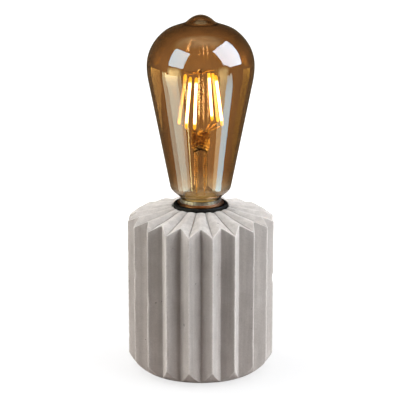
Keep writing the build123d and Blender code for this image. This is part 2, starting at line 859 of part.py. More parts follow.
lower_runs = []
for side in (1, -1):
    feet = [foot for foot in filament_feet if foot.X * side > 0]
    for place, foot in enumerate(sorted(feet, key=lambda foot: abs(foot.X)), start=1):
        start_x = side * (rod_radius + place * wire_spacing)
        start = Vector(start_x, 0, press_top + wire_gap)
        reach = foot - start
        lower_runs.append((start, foot - reach.normalized() * (wire_gap + filament_radius)))
lower_wires = wires(lower_runs, wire_radius)

lead_runs = [
    (Vector(side * lead_spread, 0, board_top), Vector(side * lead_spread, 0, press_bottom)) for side in (1, -1)
]
lead_wires = wires(lead_runs, wire_radius)

pieces = {
    "concrete_body": concrete_body,
    "base_plate": base_plate,
    "felt_pad": felt_pad,
    "base_screws": base_screws,
    "threaded_inserts": threaded_inserts,
    "cable_grommet": cable_grommet,
    "threaded_tube": threaded_tube,
    "tube_washer": tube_washer,
    "lock_washer": lock_washer,
    "tube_nut": tube_nut,
    "seat_washer": seat_washer,
    "holder_dome": holder_dome,
    "dome_grub_screw": dome_grub_screw,
    "holder_sleeve": holder_sleeve,
    "holder_collar": holder_collar,
    "contact_block": contact_block,
    "live_terminal": live_terminal,
    "neutral_terminal": neutral_terminal,
    "terminal_screws": terminal_screws,
    "shell_rivets": shell_rivets,
    "screw_shell": screw_shell,
    "contact_plunger": contact_plunger,
    "contact_spring": contact_spring,
    "cap_contact": cap_contact,
    "cap_insulator": cap_insulator,
    "screw_cap": screw_cap,
    "cap_cement": cap_cement,
    "crimp_ring": crimp_ring,
    "driver_board": driver_board,
    "driver_capacitor": driver_capacitor,
    "driver_chip": driver_chip,
    "bulb_glass": bulb_glass,
    "bulb_stem": bulb_stem,
    "led_filaments": led_filaments,
    "upper_wires": upper_wires,
    "lower_wires": lower_wires,
    "lead_wires": lead_wires,
}
os.makedirs("parts", exist_ok=True)
for label, piece in pieces.items():
    piece.part.label = label
    export_step(piece.part, f"parts/{label}.step")
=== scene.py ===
"""Pleated concrete table lamp with an amber filament bulb.

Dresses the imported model: a cast concrete body with chipped pleats, a black lampholder,
a brass screw cap and an amber bulb with six lit filaments. Metres, +Z up, front at -Y.
"""

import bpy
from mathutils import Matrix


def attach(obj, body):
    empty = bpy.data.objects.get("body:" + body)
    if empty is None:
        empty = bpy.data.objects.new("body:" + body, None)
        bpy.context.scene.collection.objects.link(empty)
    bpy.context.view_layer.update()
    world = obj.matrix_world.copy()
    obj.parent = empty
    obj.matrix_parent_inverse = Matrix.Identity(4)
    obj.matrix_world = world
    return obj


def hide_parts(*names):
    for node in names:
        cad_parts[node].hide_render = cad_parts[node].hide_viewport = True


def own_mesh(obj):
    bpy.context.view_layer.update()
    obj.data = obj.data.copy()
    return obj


bl_info = {
    "name": "Pleated Concrete Lamp",
    "version": (1, 0, 0),
    "blender": (4, 5, 0),
    "location": "View3D > Sidebar > Lamp",
    "description": "Builds the looks of a pleated concrete table lamp on its packed model",
    "category": "Object",
}

import math
import random

import bmesh
import bpy
import numpy as np
from bpy.props import FloatProperty, FloatVectorProperty, IntProperty, PointerProperty
from mathutils import Matrix, Vector, noise

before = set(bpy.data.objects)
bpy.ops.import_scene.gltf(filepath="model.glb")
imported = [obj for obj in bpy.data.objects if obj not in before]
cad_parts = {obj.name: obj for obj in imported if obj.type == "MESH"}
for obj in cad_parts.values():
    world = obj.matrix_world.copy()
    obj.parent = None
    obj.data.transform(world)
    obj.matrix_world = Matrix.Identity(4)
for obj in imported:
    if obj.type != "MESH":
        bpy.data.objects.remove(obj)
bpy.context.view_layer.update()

MM = 0.001


def length(title, about, default):
    """A length property in metres, given in millimetres."""
    return FloatProperty(
        name=title, description=about, default=default * MM, unit="LENGTH", subtype="DISTANCE"
    )


def tint(title, about, default):
    """A colour property."""
    return FloatVectorProperty(
        name=title, description=about, default=default, size=3, min=0.0, max=1.0, subtype="COLOR"
    )


def angle(title, about, default):
    """An angle property, given in degrees."""
    return FloatProperty(name=title, description=about, default=math.radians(default), subtype="ANGLE")


def amount(title, about, default):
    """A plain number property that isn't negative."""
    return FloatProperty(name=title, description=about, default=default, min=0.0)


class CastingSettings(bpy.types.PropertyGroup):
    """Sizes and colours of the concrete casting."""

    pleats: IntProperty(name="Pleats", description="Pleats round the casting", default=20, min=3)
    ridge_radius: length("Ridge radius", "Radius over the outer ridges", 45.0)
    valley_radius: length("Valley radius", "Radius in the valleys between the ridges", 38.6)
    ridge_top: length("Ridge top", "Height of the ridges' upper ends", 93.1)
    valley_top: length("Valley top", "Height of the valleys' upper ends", 97.7)
    well_radius: length("Well radius", "Radius of the well for the lampholder", 17.0)
    well_rim: length("Well rim", "Height of the well's rim", 101.6)
    well_floor: length("Well floor", "Height of the web's upper face", 46.0)
    web_bottom: length("Web underside", "Height of the web's lower face", 36.0)
    web_hole: length("Web hole", "Radius of the hole for the threaded tube", 5.35)
    cavity_radius: length("Cavity radius", "Radius of the wiring cavity", 24.0)
    recess_radius: length("Recess radius", "Radius of the recess for the base plate", 33.0)
    recess_top: length("Recess top", "Height of the ledge that the base plate meets", 3.8)
    foot_radius: length("Foot radius", "Radius where the bevel meets the underside", 37.0)
    lift: length("Lift", "Gap between the casting and the table", 0.6)
    bevel_height: length("Bevel height", "Height of the bevel at the foot", 9.4)
    bevel_bulge: length("Bevel bulge", "How far the bevel swells out from a straight line", 0.9)
    inlet_height: length("Inlet height", "Height of the cable inlet at the back", 16.0)
    inlet_radius: length("Inlet radius", "Radius of the hole for the cable grommet", 5.0)
    inlet_face: length("Inlet face", "Distance of the flat face round the inlet from the axis", 36.4)
    inlet_face_radius: length("Inlet face radius", "Radius of the flat face round the inlet", 6.7)
    insert_circle: length("Insert circle", "Radius of the circle of screw inserts", 28.5)
    insert_radius: length("Insert radius", "Radius of the pockets for the screw inserts", 2.9)
    insert_depth: length("Insert depth", "Depth of the pockets for the screw inserts", 9.0)
    softness: length("Softness", "How far the ridges are rounded", 0.45)
    petal_round: length("Petal rounding", "Rounding of the top's petals along their middles", 2.2)
    petal_flat: amount("Petal flatness", "How much flatter the petals are at the well", 0.5)
    groove: length("Groove", "Depth of the fine groove between two petals", 0.22)
    edge_round: length("Edge rounding", "Rounding of the upper edge", 0.55)
    waviness: length("Waviness", "Depth of the slow waves in the cast faces", 0.08)
    erosion: length("Erosion", "Depth of the fine wear along the ridges", 0.12)
    chips: IntProperty(name="Chips", description="Chips broken from the edges", default=90, min=0)
    pale: tint("Pale colour", "Palest colour of the concrete", (0.61, 0.58, 0.55))
    dark: tint("Dark colour", "Darkest cloud of the concrete", (0.51, 0.48, 0.45))


class PadSettings(bpy.types.PropertyGroup):
    """Sizes of the felt pad under the base."""

    radius: length("Radius", "Radius of the pad", 32.0)
    thickness: length("Thickness", "Thickness of the pad", 1.8)
    lip: length("Lip", "Rounding of the pad's edges", 0.6)
    hole_radius: length("Hole radius", "Radius of the holes round the screw heads", 3.0)
    hole_circle: length("Hole circle", "Radius of the circle of holes", 28.5)
    nap: length("Nap", "Depth of the unevenness of the felt", 0.12)


class BulbSettings(bpy.types.PropertyGroup):
    """Sizes and colours of the bulb."""

    neck_bottom: length("Neck foot", "Height of the lower end of the glass", 99.7)
    neck_top: length("Neck top", "Height where the shoulder starts", 106.1)
    neck_radius: length("Neck radius", "Radius of the neck", 12.0)
    taper_radius: length("Taper foot radius", "Radius at the foot of the straight taper", 18.4)
    taper_foot: length("Taper foot", "Height of the foot of the straight taper", 113.5)
    waist_radius: length("Waist radius", "Largest radius", 32.0)
    waist: length("Waist", "Height of the largest radius", 187.0)
    waist_blend: length("Waist blend", "Height over which the taper turns upright", 9.0)
    waist_inset: length("Waist inset", "How much narrower the taper's upper end is", 0.87)
    dome_rise: length("Dome rise", "Height of the dome's ellipse", 27.4)
    crown_radius: length("Crown radius", "Radius where the dome leaves its ellipse", 22.0)
    pip_foot_radius: length("Pip foot radius", "Radius of the hollow round the pip", 10.9)
    pip_foot_drop: length("Pip foot drop", "How far that hollow is below the tip", 5.35)
    pip_foot_lean: angle("Pip foot lean", "Slope of the hollow", 20.0)
    pip_radius: length("Pip radius", "Radius of the pip", 9.0)
    pip_drop: length("Pip drop", "How far the pip's side is below the tip", 4.5)
    pip_lean: angle("Pip lean", "Slope of the pip's side", 29.0)
    tip: length("Tip", "Height of the top of the bulb", 217.2)
    wall: length("Wall", "Thickness of the glass", 0.9)
    press_foot: length("Press foot", "Height where the glass mount is pressed flat", 134.0)
    press_top: length("Press top", "Height of the upper end of the flat press", 147.0)
    amber: tint("Amber", "Colour of the glass", (0.55, 0.38, 0.22))
    clear: tint("Clear", "Colour of the glass at the neck", (0.9, 0.86, 0.8))
    # Painted shade: the dark colour the glass takes where it is seen edge on.
    edge_on_shade: tint("Edge colour", "Colour of the glass where it is seen edge on", (0.11, 0.07, 0.03))


class FilamentSettings(bpy.types.PropertyGroup):
    """Sizes and colours of the filaments."""

    radius: length("Radius", "Radius of a filament", 0.95)
    top_ring: length("Top ring", "Radius of the ring of upper ends", 9.1)
    top: length("Top", "Height of the upper ends", 181.5)
    foot_ring: length("Foot ring", "Radius of the ring of lower ends", 13.2)
    foot: length("Foot", "Height of the lower ends", 151.0)
    bare_end: length("Bare end", "Length of the unlit ends", 4.2)
    fade: length("Fade", "Length over which the light fades in beside an unlit end", 1.2)
    bead_pitch: length("Bead pitch", "Distance between the light points along a filament", 1.15)
    lit: tint("Lit colour", "Colour of the light", (1.0, 0.86, 0.60))
    bare: tint("End colour", "Colour of the unlit ends", (1.0, 0.62, 0.05))
    glow: amount("Glow", "Strength of the light", 40.0)
    end_share: amount("End share", "Strength of the unlit ends", 0.07)
    side_share: amount("Side share", "Strength of the filaments' sides", 0.1)


class StageSettings(bpy.types.PropertyGroup):
    """Camera, floor and the light of the room."""

    camera_back: length("Camera back", "Distance of the camera in front of the lamp", 949.11)
    camera_up: length("Camera height", "Height of the camera", 363.69)
    camera_pitch: angle("Camera pitch", "How far the camera looks down", 15.28)
    focal: amount("Focal length", "Focal length in mm on a 36 mm sensor", 146.3)
    floor_size: length("Floor size", "Side of the floor", 6000.0)
    floor: tint("Floor", "Colour of the floor", (0.86, 0.86, 0.86))
    bounce: tint("Bounce", "How much of the light the floor throws back up", (0.095, 0.08, 0.075))
    near_bounce: tint("Near bounce", "The same right round the lamp", (0.345, 0.295, 0.278))
    room: tint("Room", "Light of the room on matt surfaces", (0.045, 0.035, 0.032))
    gloss: tint("Dark room", "What reflections see of the room", (0.025, 0.023, 0.02))


SETTINGS = {
    "lamp_casting": CastingSettings,
    "lamp_pad": PadSettings,
    "lamp_bulb": BulbSettings,
    "lamp_filaments": FilamentSettings,
    "lamp_stage": StageSettings,
}

# Azimuth in degrees and share of the full light of each filament
AZIMUTHS = (-97.0, -41.0, -16.0, 78.0, 128.0, 148.0)
POWERS = (0.04, 0.8, 1.0, 1.0, 0.06, 0.9)


# Mesh helpers


def mesh_object(name, points, faces):
    """A smooth-shaded object in the scene from points and faces."""
    mesh = bpy.data.meshes.new(name)
    mesh.from_pydata([tuple(map(float, point)) for point in points], [], faces)
    mesh.validate()
    build = bmesh.new()
    build.from_mesh(mesh)
    bmesh.ops.recalc_face_normals(build, faces=build.faces)
    build.to_mesh(mesh)
    build.free()
    mesh.shade_smooth()
    piece = bpy.data.objects.new(name, mesh)
    bpy.context.scene.collection.objects.link(piece)
    return piece


def sharpen(piece, degrees):
    """Break the smooth shading at edges steeper than this."""
    piece.data.set_sharp_from_angle(angle=math.radians(degrees))


def lathe(name, outline, steps):
    """A closed turned piece from an outline of radius and height that runs in a ring or from axis to axis."""
    points = []
    rings = []
    for radius, height in outline:
        if radius < 1e-7:
            rings.append([len(points)])
            points.append((0.0, 0.0, height))
            continue
        rings.append([len(points) + step for step in range(steps)])
        for step in range(steps):
            turn = 2 * math.pi * step / steps
            points.append((radius * math.sin(turn), -radius * math.cos(turn), height))
    faces = []
    for low, high in zip(rings, rings[1:] + rings[:1]):
        if len(low) == 1 and len(high) == 1:
            continue
        for step in range(steps):
            after = (step + 1) % steps
            corners = [low[place % len(low)] for place in (step, after)]
            corners += [high[place % len(high)] for place in (after, step)]
            faces.append(list(dict.fromkeys(corners)))
    return mesh_object(name, points, faces)


def bezier(start, first, second, end, count):
    """Points along a cubic curve, without its start."""
    points = []
    for step in range(1, count + 1):
        s = step / count
        r = 1 - s
        points.append(r**3 * start + 3 * r * r * s * first + 3 * r * s * s * second + s**3 * end)
    return points


def rod(path, radii, sides):
    """Points and faces of a closed round rod along a path, with a radius at each point."""
    path = [Vector(point) for point in path]
    points = []
    faces = []
    forward = (path[1] - path[0]).normalized()
    side = forward.orthogonal().normalized()
    for place, point in enumerate(path):
        ahead = path[min(place + 1, len(path) - 1)] - path[max(place - 1, 0)]
        ahead.normalize()
        side = (side - ahead * side.dot(ahead)).normalized()
        other = ahead.cross(side)
        for step in range(sides):
            turn = 2 * math.pi * step / sides
            points.append(point + (side * math.cos(turn) + other * math.sin(turn)) * radii[place])
    for place in range(len(path) - 1):
        for step in range(sides):
            after = (step + 1) % sides
            low = place * sides
            faces.append((low + step, low + after, low + sides + after, low + sides + step))
    faces.append(tuple(range(sides)))
    faces.append(tuple(range(len(points) - sides, len(points))))
    return points, faces


def rods(name, paths, sides):
    """One object from several rods, each a path and its radii."""
    points = []
    faces = []
    for path, radii in paths:
        more, skin = rod(path, radii, sides)
        faces += [tuple(corner + len(points) for corner in face) for face in skin]
        points += more
    return mesh_object(name, points, faces)


def polar(radius, azimuth, height):
    """A point at an azimuth in degrees from the front of the lamp, towards +X."""
    turn = math.radians(azimuth)
    return Vector((radius * math.sin(turn), -radius * math.cos(turn), height))


def flat_sheet(name, width, depth):
    """A flat rectangle round the origin."""
    wide, deep = width / 2, depth / 2
    corners = [(-wide, -deep, 0.0), (wide, -deep, 0.0), (wide, deep, 0.0), (-wide, deep, 0.0)]
    return mesh_object(name, corners, [(0, 1, 2, 3)])


def mark_points(piece, **marks):
    """Store named values on a piece's points for its material."""
    for title, values in marks.items():
        mark = piece.data.attributes.new(title, "FLOAT", "POINT")
        mark.data.foreach_set("value", values)


def drill(radius, low, high, steps, place):
    """A round cutter between two ends on its axis, moved to its place."""
    cutter = lathe("cutter", ((0.0, low), (radius, low), (radius, high), (0.0, high)), steps)
    cutter.data.transform(place)
    return cutter


def three_places(circle):
    """Moves to three places spread evenly over a circle."""
    turns = [Matrix.Rotation(2 * math.pi * turn / 3, 4, "Z") for turn in range(3)]
    return [Matrix.Translation(turn @ Vector((circle, 0, 0))) for turn in turns]


def cut_away(piece, cutters):
    """Cut closed meshes out of a piece and delete them."""
    for cutter in cutters:
        cut = piece.modifiers.new("Cut", "BOOLEAN")
        cut.operation = "DIFFERENCE"
        cut.solver = "EXACT"
        cut.object = cutter
    bpy.context.view_layer.update()
    whole = piece.evaluated_get(bpy.context.evaluated_depsgraph_get())
    piece.data = bpy.data.meshes.new_from_object(whole)
    piece.modifiers.clear()
    for cutter in cutters:
        bpy.data.objects.remove(cutter)


# Shader helpers


def add_node(tree, kind, **values):
    """A node in a tree, with attributes and plain socket values set by name."""
    node = tree.nodes.new(kind)
    for key, value in values.items():
        if key in node.inputs:
            node.inputs[key].default_value = value
        else:
            setattr(node, key, value)
    return node


def new_group(name, inputs, outputs):
    """A shader node group with named sockets, and its two end nodes."""
    group = bpy.data.node_groups.new(name, "ShaderNodeTree")
    kinds = {"value": "NodeSocketFloat", "colour": "NodeSocketColor", "vector": "NodeSocketVector"}
    for title, kind, default in inputs:
        socket = group.interface.new_socket(title, in_out="INPUT", socket_type=kinds[kind])
        if default is not None:
            socket.default_value = default
    for title, kind in outputs:
        group.interface.new_socket(title, in_out="OUTPUT", socket_type=kinds[kind])
    return group, group.nodes.new("NodeGroupInput"), group.nodes.new("NodeGroupOutput")


def scaled(tree, vector, stretch):
    """A coordinate stretched along the axes."""
    mapping = add_node(tree, "ShaderNodeMapping", Scale=stretch)
    tree.links.new(vector, mapping.inputs["Vector"])
    return mapping.outputs["Vector"]


def ramp(tree, value, low, high, to_low=0.0, to_high=1.0):
    """A value eased from one range into another."""
    node = tree.nodes.new("ShaderNodeMapRange")
    node.interpolation_type = "SMOOTHSTEP"
    for title, number in (("From Min", low), ("From Max", high), ("To Min", to_low), ("To Max", to_high)):
        node.inputs[title].default_value = number
    tree.links.new(value, node.inputs["Value"])
    return node.outputs["Result"]


def axes(tree, vector):
    """The parts of a coordinate, by the names of the axes."""
    split = tree.nodes.new("ShaderNodeSeparateXYZ")
    tree.links.new(vector, split.inputs[0])
    return split.outputs


def from_origin(tree, vector):
    """Distance of a coordinate from its origin."""
    away = add_node(tree, "ShaderNodeVectorMath", operation="LENGTH")
    tree.links.new(vector, away.inputs[0])
    return away.outputs["Value"]


def noise_at(tree, vector, scale, detail, roughness=0.5):
    """Noise at a coordinate, about 0 to 1."""
    node = add_node(tree, "ShaderNodeTexNoise", Scale=scale, Detail=detail, Roughness=roughness)
    tree.links.new(vector, node.inputs["Vector"])
    return node.outputs["Fac"]


def feed(tree, value, socket):
    """Link a socket to an input, or set the input to a plain number or colour."""
    if isinstance(value, bpy.types.NodeSocket):
        tree.links.new(value, socket)
    elif isinstance(value, (int, float)):
        socket.default_value = value
    else:
        socket.default_value = (*tuple(value)[:3], 1.0)


def blend_colours(tree, share, first, second, kind="MIX"):
    """A mix of two colours, each a socket or a plain colour."""
    node = tree.nodes.new("ShaderNodeMix")
    node.data_type = "RGBA"
    node.blend_type = kind
    for value, socket in ((share, node.inputs[0]), (first, node.inputs[6]), (second, node.inputs[7])):
        feed(tree, value, socket)
    return node.outputs[2]


def combine(tree, kind, first, second):
    """A sum, product or other math of two values, each a socket or a number."""
    node = add_node(tree, "ShaderNodeMath", operation=kind)
    feed(tree, first, node.inputs[0])
    feed(tree, second, node.inputs[1])
    return node.outputs[0]


def cloud_group():
    """Slow clouds of two colours with finer mottling."""
    if "Clouds" in bpy.data.node_groups:
        return bpy.data.node_groups["Clouds"]
    sockets = (
        ("Vector", "vector", None),
        ("Scale", "value", 60.0),
        ("Detail", "value", 5.0),
        ("Contrast", "value", 1.0),
        ("Pale", "colour", (0.6, 0.6, 0.6, 1.0)),
        ("Dark", "colour", (0.4, 0.4, 0.4, 1.0)),
    )
    group, start, end = new_group("Clouds", sockets, (("Color", "colour"),))
    slow = add_node(group, "ShaderNodeTexNoise", Roughness=0.62)
    group.links.new(start.outputs["Vector"], slow.inputs["Vector"])
    group.links.new(start.outputs["Scale"], slow.inputs["Scale"])
    group.links.new(start.outputs["Detail"], slow.inputs["Detail"])
    centred = combine(group, "SUBTRACT", slow.outputs["Fac"], 0.5)
    spread = combine(group, "MULTIPLY", centred, start.outputs["Contrast"])
    mask = add_node(group, "ShaderNodeMath", operation="MULTIPLY_ADD", use_clamp=True)
    group.links.new(spread, mask.inputs[0])
    mask.inputs[1].default_value = 2.4
    mask.inputs[2].default_value = 0.5
    colour = blend_colours(group, mask.outputs[0], start.outputs["Dark"], start.outputs["Pale"])
    group.links.new(colour, end.inputs["Color"])
    return group


def pore_group():
    """Scattered round air holes: a mask that is 1 in a hole."""
    if "Pores" in bpy.data.node_groups:
        return bpy.data.node_groups["Pores"]
    sockets = (
        ("Vector", "vector", None),
        ("Scale", "value", 300.0),
        ("Size", "value", 0.2),
        ("Share", "value", 0.3),
    )
    group, start, end = new_group("Pores", sockets, (("Mask", "value"),))
    cells = add_node(group, "ShaderNodeTexVoronoi", feature="F1")
    group.links.new(start.outputs["Vector"], cells.inputs["Vector"])
    group.links.new(start.outputs["Scale"], cells.inputs["Scale"])
    pick = add_node(group, "ShaderNodeSeparateColor")
    group.links.new(cells.outputs["Color"], pick.inputs[0])
    chosen = combine(group, "LESS_THAN", pick.outputs[0], start.outputs["Share"])
    wide = combine(group, "MULTIPLY", pick.outputs[1], start.outputs["Size"])
    inside = combine(group, "SUBTRACT", wide, cells.outputs["Distance"])
    deep = combine(group, "MULTIPLY", inside, 14.0)
    soft = add_node(group, "ShaderNodeClamp")
    group.links.new(deep, soft.inputs["Value"])
    group.links.new(combine(group, "MULTIPLY", soft.outputs[0], chosen), end.inputs["Mask"])
    return group


def grain_group():
    """Fine grain as a height and a roughness that varies with it."""
    if "Grain" in bpy.data.node_groups:
        return bpy.data.node_groups["Grain"]
    sockets = (
        ("Vector", "vector", None),
        ("Scale", "value", 1500.0),
        ("Low Roughness", "value", 0.4),
        ("High Roughness", "value", 0.6),
    )
    group, start, end = new_group("Grain", sockets, (("Height", "value"), ("Roughness", "value")))
    fine = add_node(group, "ShaderNodeTexNoise", Detail=3.0, Roughness=0.6)
    group.links.new(start.outputs["Vector"], fine.inputs["Vector"])
    group.links.new(start.outputs["Scale"], fine.inputs["Scale"])
    span = combine(group, "SUBTRACT", start.outputs["High Roughness"], start.outputs["Low Roughness"])
    rise = combine(group, "MULTIPLY", span, fine.outputs["Fac"])
    group.links.new(combine(group, "ADD", rise, start.outputs["Low Roughness"]), end.inputs["Roughness"])
    group.links.new(fine.outputs["Fac"], end.inputs["Height"])
    return group


def place_group(tree, group, vector, **values):
    """A node group in a material, with its own plain values."""
    node = tree.nodes.new("ShaderNodeGroup")
    node.node_tree = group
    tree.links.new(vector, node.inputs["Vector"])
    for title, value in values.items():
        feed(tree, value, node.inputs[title.replace("_", " ")])
    return node


def new_material(name, **values):
    """A material with its Principled shader and object coordinates, and plain values set on the shader."""
    material = bpy.data.materials.new(name)
    material.use_nodes = True
    tree = material.node_tree
    shader = tree.nodes["Principled BSDF"]
    for title, value in values.items():
        feed(tree, value, shader.inputs[title.replace("_", " ")])
    where = tree.nodes.new("ShaderNodeTexCoord").outputs["Object"]
    return material, tree, shader, where


def bump(tree, shader, height, distance, strength=1.0, before=None):
    """Bump the shader's normal by a height, in metres."""
    node = add_node(tree, "ShaderNodeBump", Strength=strength, Distance=distance)
    tree.links.new(height, node.inputs["Height"])
    if before is not None:
        tree.links.new(before, node.inputs["Normal"])
    tree.links.new(node.outputs["Normal"], shader.inputs["Normal"])
    return node.outputs["Normal"]


def grained(tree, shader, vector, scale, roughness, depth):
    """Give a shader fine grain in its roughness and normal, and return the grain's height and that normal."""
    grain = place_group(
        tree, grain_group(), vector, Scale=scale, Low_Roughness=roughness[0], High_Roughness=roughness[1]
    )
    tree.links.new(grain.outputs["Roughness"], shader.inputs["Roughness"])
    height = grain.outputs["Height"]
    return height, bump(tree, shader, height, depth)


def plain_finish(name, pale, dark, cloud_scale, grain_scale, roughness, depth, **values):
    """A finish with clouded colour, varied roughness and fine grain."""
    material, tree, shader, where = new_material(name, **values)
    clouds = place_group(tree, cloud_group(), where, Scale=cloud_scale, Pale=pale, Dark=dark)
    tree.links.new(clouds.outputs["Color"], shader.inputs["Base Color"])
    grained(tree, shader, where, grain_scale, roughness, depth)
    return material


# How a metal's fine marks are stretched, where it is turned on a lathe or drawn along its axis
TURNED = (1.0, 1.0, 4.0)
DRAWN = (1.0, 1.0, 0.3)


def metal_finish(name, pale, dark, stretch, roughness):
    """A metal with fine marks along one axis and slight tarnish."""
    material, tree, shader, where = new_material(name, Metallic=1.0)
    clouds = place_group(tree, cloud_group(), where, Scale=140.0, Contrast=0.8, Pale=pale, Dark=dark)
    tree.links.new(clouds.outputs["Color"], shader.inputs["Base Color"])
    grained(tree, shader, scaled(tree, where, stretch), 900.0, roughness, 0.01 * MM)
    return material


def dress(node, material, bevel=0.0):
    """Give a CAD node a material and, where it shows, softened edges."""
    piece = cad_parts[node]
    piece.data.materials.clear()
    piece.data.materials.append(material)
    if bevel:
        soft = piece.modifiers.new("Soft edges", "BEVEL")
        soft.width = bevel
        soft.segments = 2
        soft.limit_method = "ANGLE"
        soft.angle_limit = math.radians(40)
        soft.harden_normals = True


def stand_for(piece, body, slot, *nodes):
    """Let a piece ride on a body in place of CAD nodes."""
    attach(piece, body)
    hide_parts(*nodes)


# Concrete casting


def eased(share, low_soft, high_soft):
    """A straight run from 0 to 1 whose two ends are rounded, each over its own share."""
    low = low_soft / 2 + share**2 / (2 * low_soft)
    high = 1 - (high_soft / 2 + (1 - share) ** 2 / (2 * high_soft))
    return np.where(share < low_soft, low, np.where(share > 1 - high_soft, high, share))


def casting_columns(s):
    """Azimuth of each column of the casting, and how far it is from its valley to its ridge."""
    rise = np.array([0, 0.03, 0.07, 0.12, 0.2, 0.32, 0.46, 0.6, 0.73, 0.83, 0.9, 0.94, 0.97])
    half = math.pi / s.pleats
    share = np.concatenate([rise, [1.0], rise[:0:-1]])
    place = np.concatenate([rise, [1.0], 2 - rise[:0:-1]]) * half
    azimuth = np.concatenate([place + 2 * half * pleat for pleat in range(s.pleats)])
    return azimuth, np.tile(share, s.pleats)


def casting_rows(s, share):
    """Rows of the casting, each as radius and height for every column and how far the row may wear."""
    half = math.pi / s.pleats
    one = np.ones_like(share)
    flat_from = 0.72 * s.valley_radius

    def top_height(radius):
        crest = np.clip(s.petal_round / (radius * half), 0.05, 0.75)
        fold = half * eased(share, crest, 0.02)
        inward = np.clip((flat_from - radius) / (flat_from - s.well_radius), 0, 1)
        fold = fold * (1 - s.petal_flat * inward**2 * (3 - 2 * inward))
        fall = (s.valley_top - s.well_rim) / (s.valley_radius - s.well_radius)
        level = s.well_rim - fall * s.well_radius
        lean = s.ridge_top - level - fall * s.ridge_radius * math.cos(half)
        lean /= s.ridge_radius * math.sin(half)
        return level + lean * radius * np.sin(fold) + fall * radius * np.cos(fold)

    soft = s.softness / (s.ridge_radius * half)
    fold = half * eased(share, 0.6 * soft, soft)
    wall = s.valley_radius * s.ridge_radius * math.sin(half)
    wall = wall / (s.valley_radius * np.sin(fold) + s.ridge_radius * np.sin(half - fold))

    foot = Vector((s.foot_radius, s.lift))
    crown = Vector((s.ridge_radius, s.lift + s.bevel_height))
    run = crown - foot
    across = Vector((run.y, -run.x)).normalized()
    bow = (run.length**2 / 4 + s.bevel_bulge**2) / (2 * s.bevel_bulge)
    centre = (foot + crown) / 2 + across * (s.bevel_bulge - bow)

    def bevel_height(radius):
        return centre.y - np.sqrt(np.maximum(bow**2 - (radius - centre.x) ** 2, 0))

    rows = [(one * s.recess_radius, one * s.lift, 0.0)]
    rows.append((one * (s.recess_radius + 0.6 * MM), one * s.lift, 0.0))
    rows.append((one * (s.foot_radius - 0.5 * MM), one * s.lift, 0.3))
    for step in np.linspace(0.02, 1.0, 10):
        radius = s.foot_radius + (wall - s.foot_radius) * step
        rows.append((radius, bevel_height(radius), 1.0))
    low = bevel_height(wall)
    high = top_height(wall) - s.edge_round
    for step in (0.25 * MM, 0.6 * MM):
        rows.append((wall, low + step, 1.0))
    for step in np.linspace(0.0, 1.0, 70):
        rows.append((wall, low + 1.2 * MM + (high - low - 1.2 * MM) * step, 1.0))
    inner = wall - s.edge_round
    for step in (0.2, 0.4, 0.6, 0.8):
        radius = wall * (1 - step**2) + inner * step**2
        height = (1 - step) ** 2 * high + 2 * step * (1 - step) * top_height(wall)
        height = height + step**2 * top_height(inner)
        rows.append((radius, height, 1.0))
    outer = s.well_radius + 0.5 * MM
    for step in np.linspace(0.0, 1.0, 30):
        radius = inner + (outer - inner) * step
        rows.append((radius, top_height(radius), 1.0))
    rim = top_height(one * s.well_radius)
    for step in (0.3, 0.65):
        left = (1 - step) ** 2
        radius = one * (left * outer + (1 - left) * s.well_radius)
        height = left * top_height(one * outer) + (1 - left) * rim - step**2 * 0.5 * MM
        rows.append((radius, height, 1.0))
    for drop in (0.5, 3.0, 9.0, 20.0):
        rows.append((one * s.well_radius, rim - drop * MM, 0.0))
    inside = (
        (s.well_radius, s.well_floor + 6 * MM),
        (s.well_radius, s.well_floor),
        (0.6 * s.well_radius, s.well_floor),
        (s.web_hole, s.well_floor),
        (s.web_hole, s.web_bottom),
        (0.5 * s.cavity_radius, s.web_bottom),
        (s.cavity_radius, s.web_bottom),
        (s.cavity_radius, 0.6 * s.web_bottom),
        (s.cavity_radius, 0.3 * s.web_bottom),
        (s.cavity_radius, s.recess_top),
        (0.5 * (s.cavity_radius + s.recess_radius), s.recess_top),
        (s.recess_radius, s.recess_top),
    )
    rows += [(one * radius, one * height, 0.0) for radius, height in inside]
    return rows


def cast_noise(points, scale, offset):
    """Smooth noise at each point, about -1 to 1."""
    shift = Vector(offset)
    return np.array([noise.noise(Vector(point) * scale + shift) for point in points])


def casting_chips(s, points):
    """How far each point is broken away along the ridges, the upper edge and the well's rim."""
    dice = random.Random(11)
    half = math.pi / s.pleats
    broken = np.zeros(len(points))
    for _ in range(s.chips):
        kind = dice.random()
        ridge = half * (2 * dice.randrange(s.pleats) + 1)
        size = dice.uniform(0.7, 1.5) if dice.random() < 0.8 else dice.uniform(1.5, 2.8)
        if kind < 0.62:
            spot = (s.ridge_radius, ridge, dice.uniform(s.lift + s.bevel_height, s.ridge_top))
        elif kind < 0.74:
            spot = (s.ridge_radius, ridge, s.ridge_top)
        elif kind < 0.9:
            lean = dice.uniform(-1, 1)
            radius = s.ridge_radius + (s.valley_radius - s.ridge_radius) * abs(lean)
            spot = (radius, ridge + lean * half, s.ridge_top + (s.valley_top - s.ridge_top) * abs(lean))
        else:
            spot = (s.well_radius, dice.uniform(0, 2 * math.pi), s.well_rim - 0.6 * MM)
        centre = np.array((spot[0] * math.sin(spot[1]), -spot[0] * math.cos(spot[1]), spot[2]))
        away = points - centre
        tall = dice.uniform(0.5, 1.0) if kind < 0.62 else 1.0
        away[:, 2] *= tall
        near = np.sum(away**2, axis=1) / (size * MM) ** 2
        depth = size * MM * dice.uniform(0.16, 0.34)
        broken = np.maximum(broken, depth * np.clip(1 - near, 0, None))
    return broken


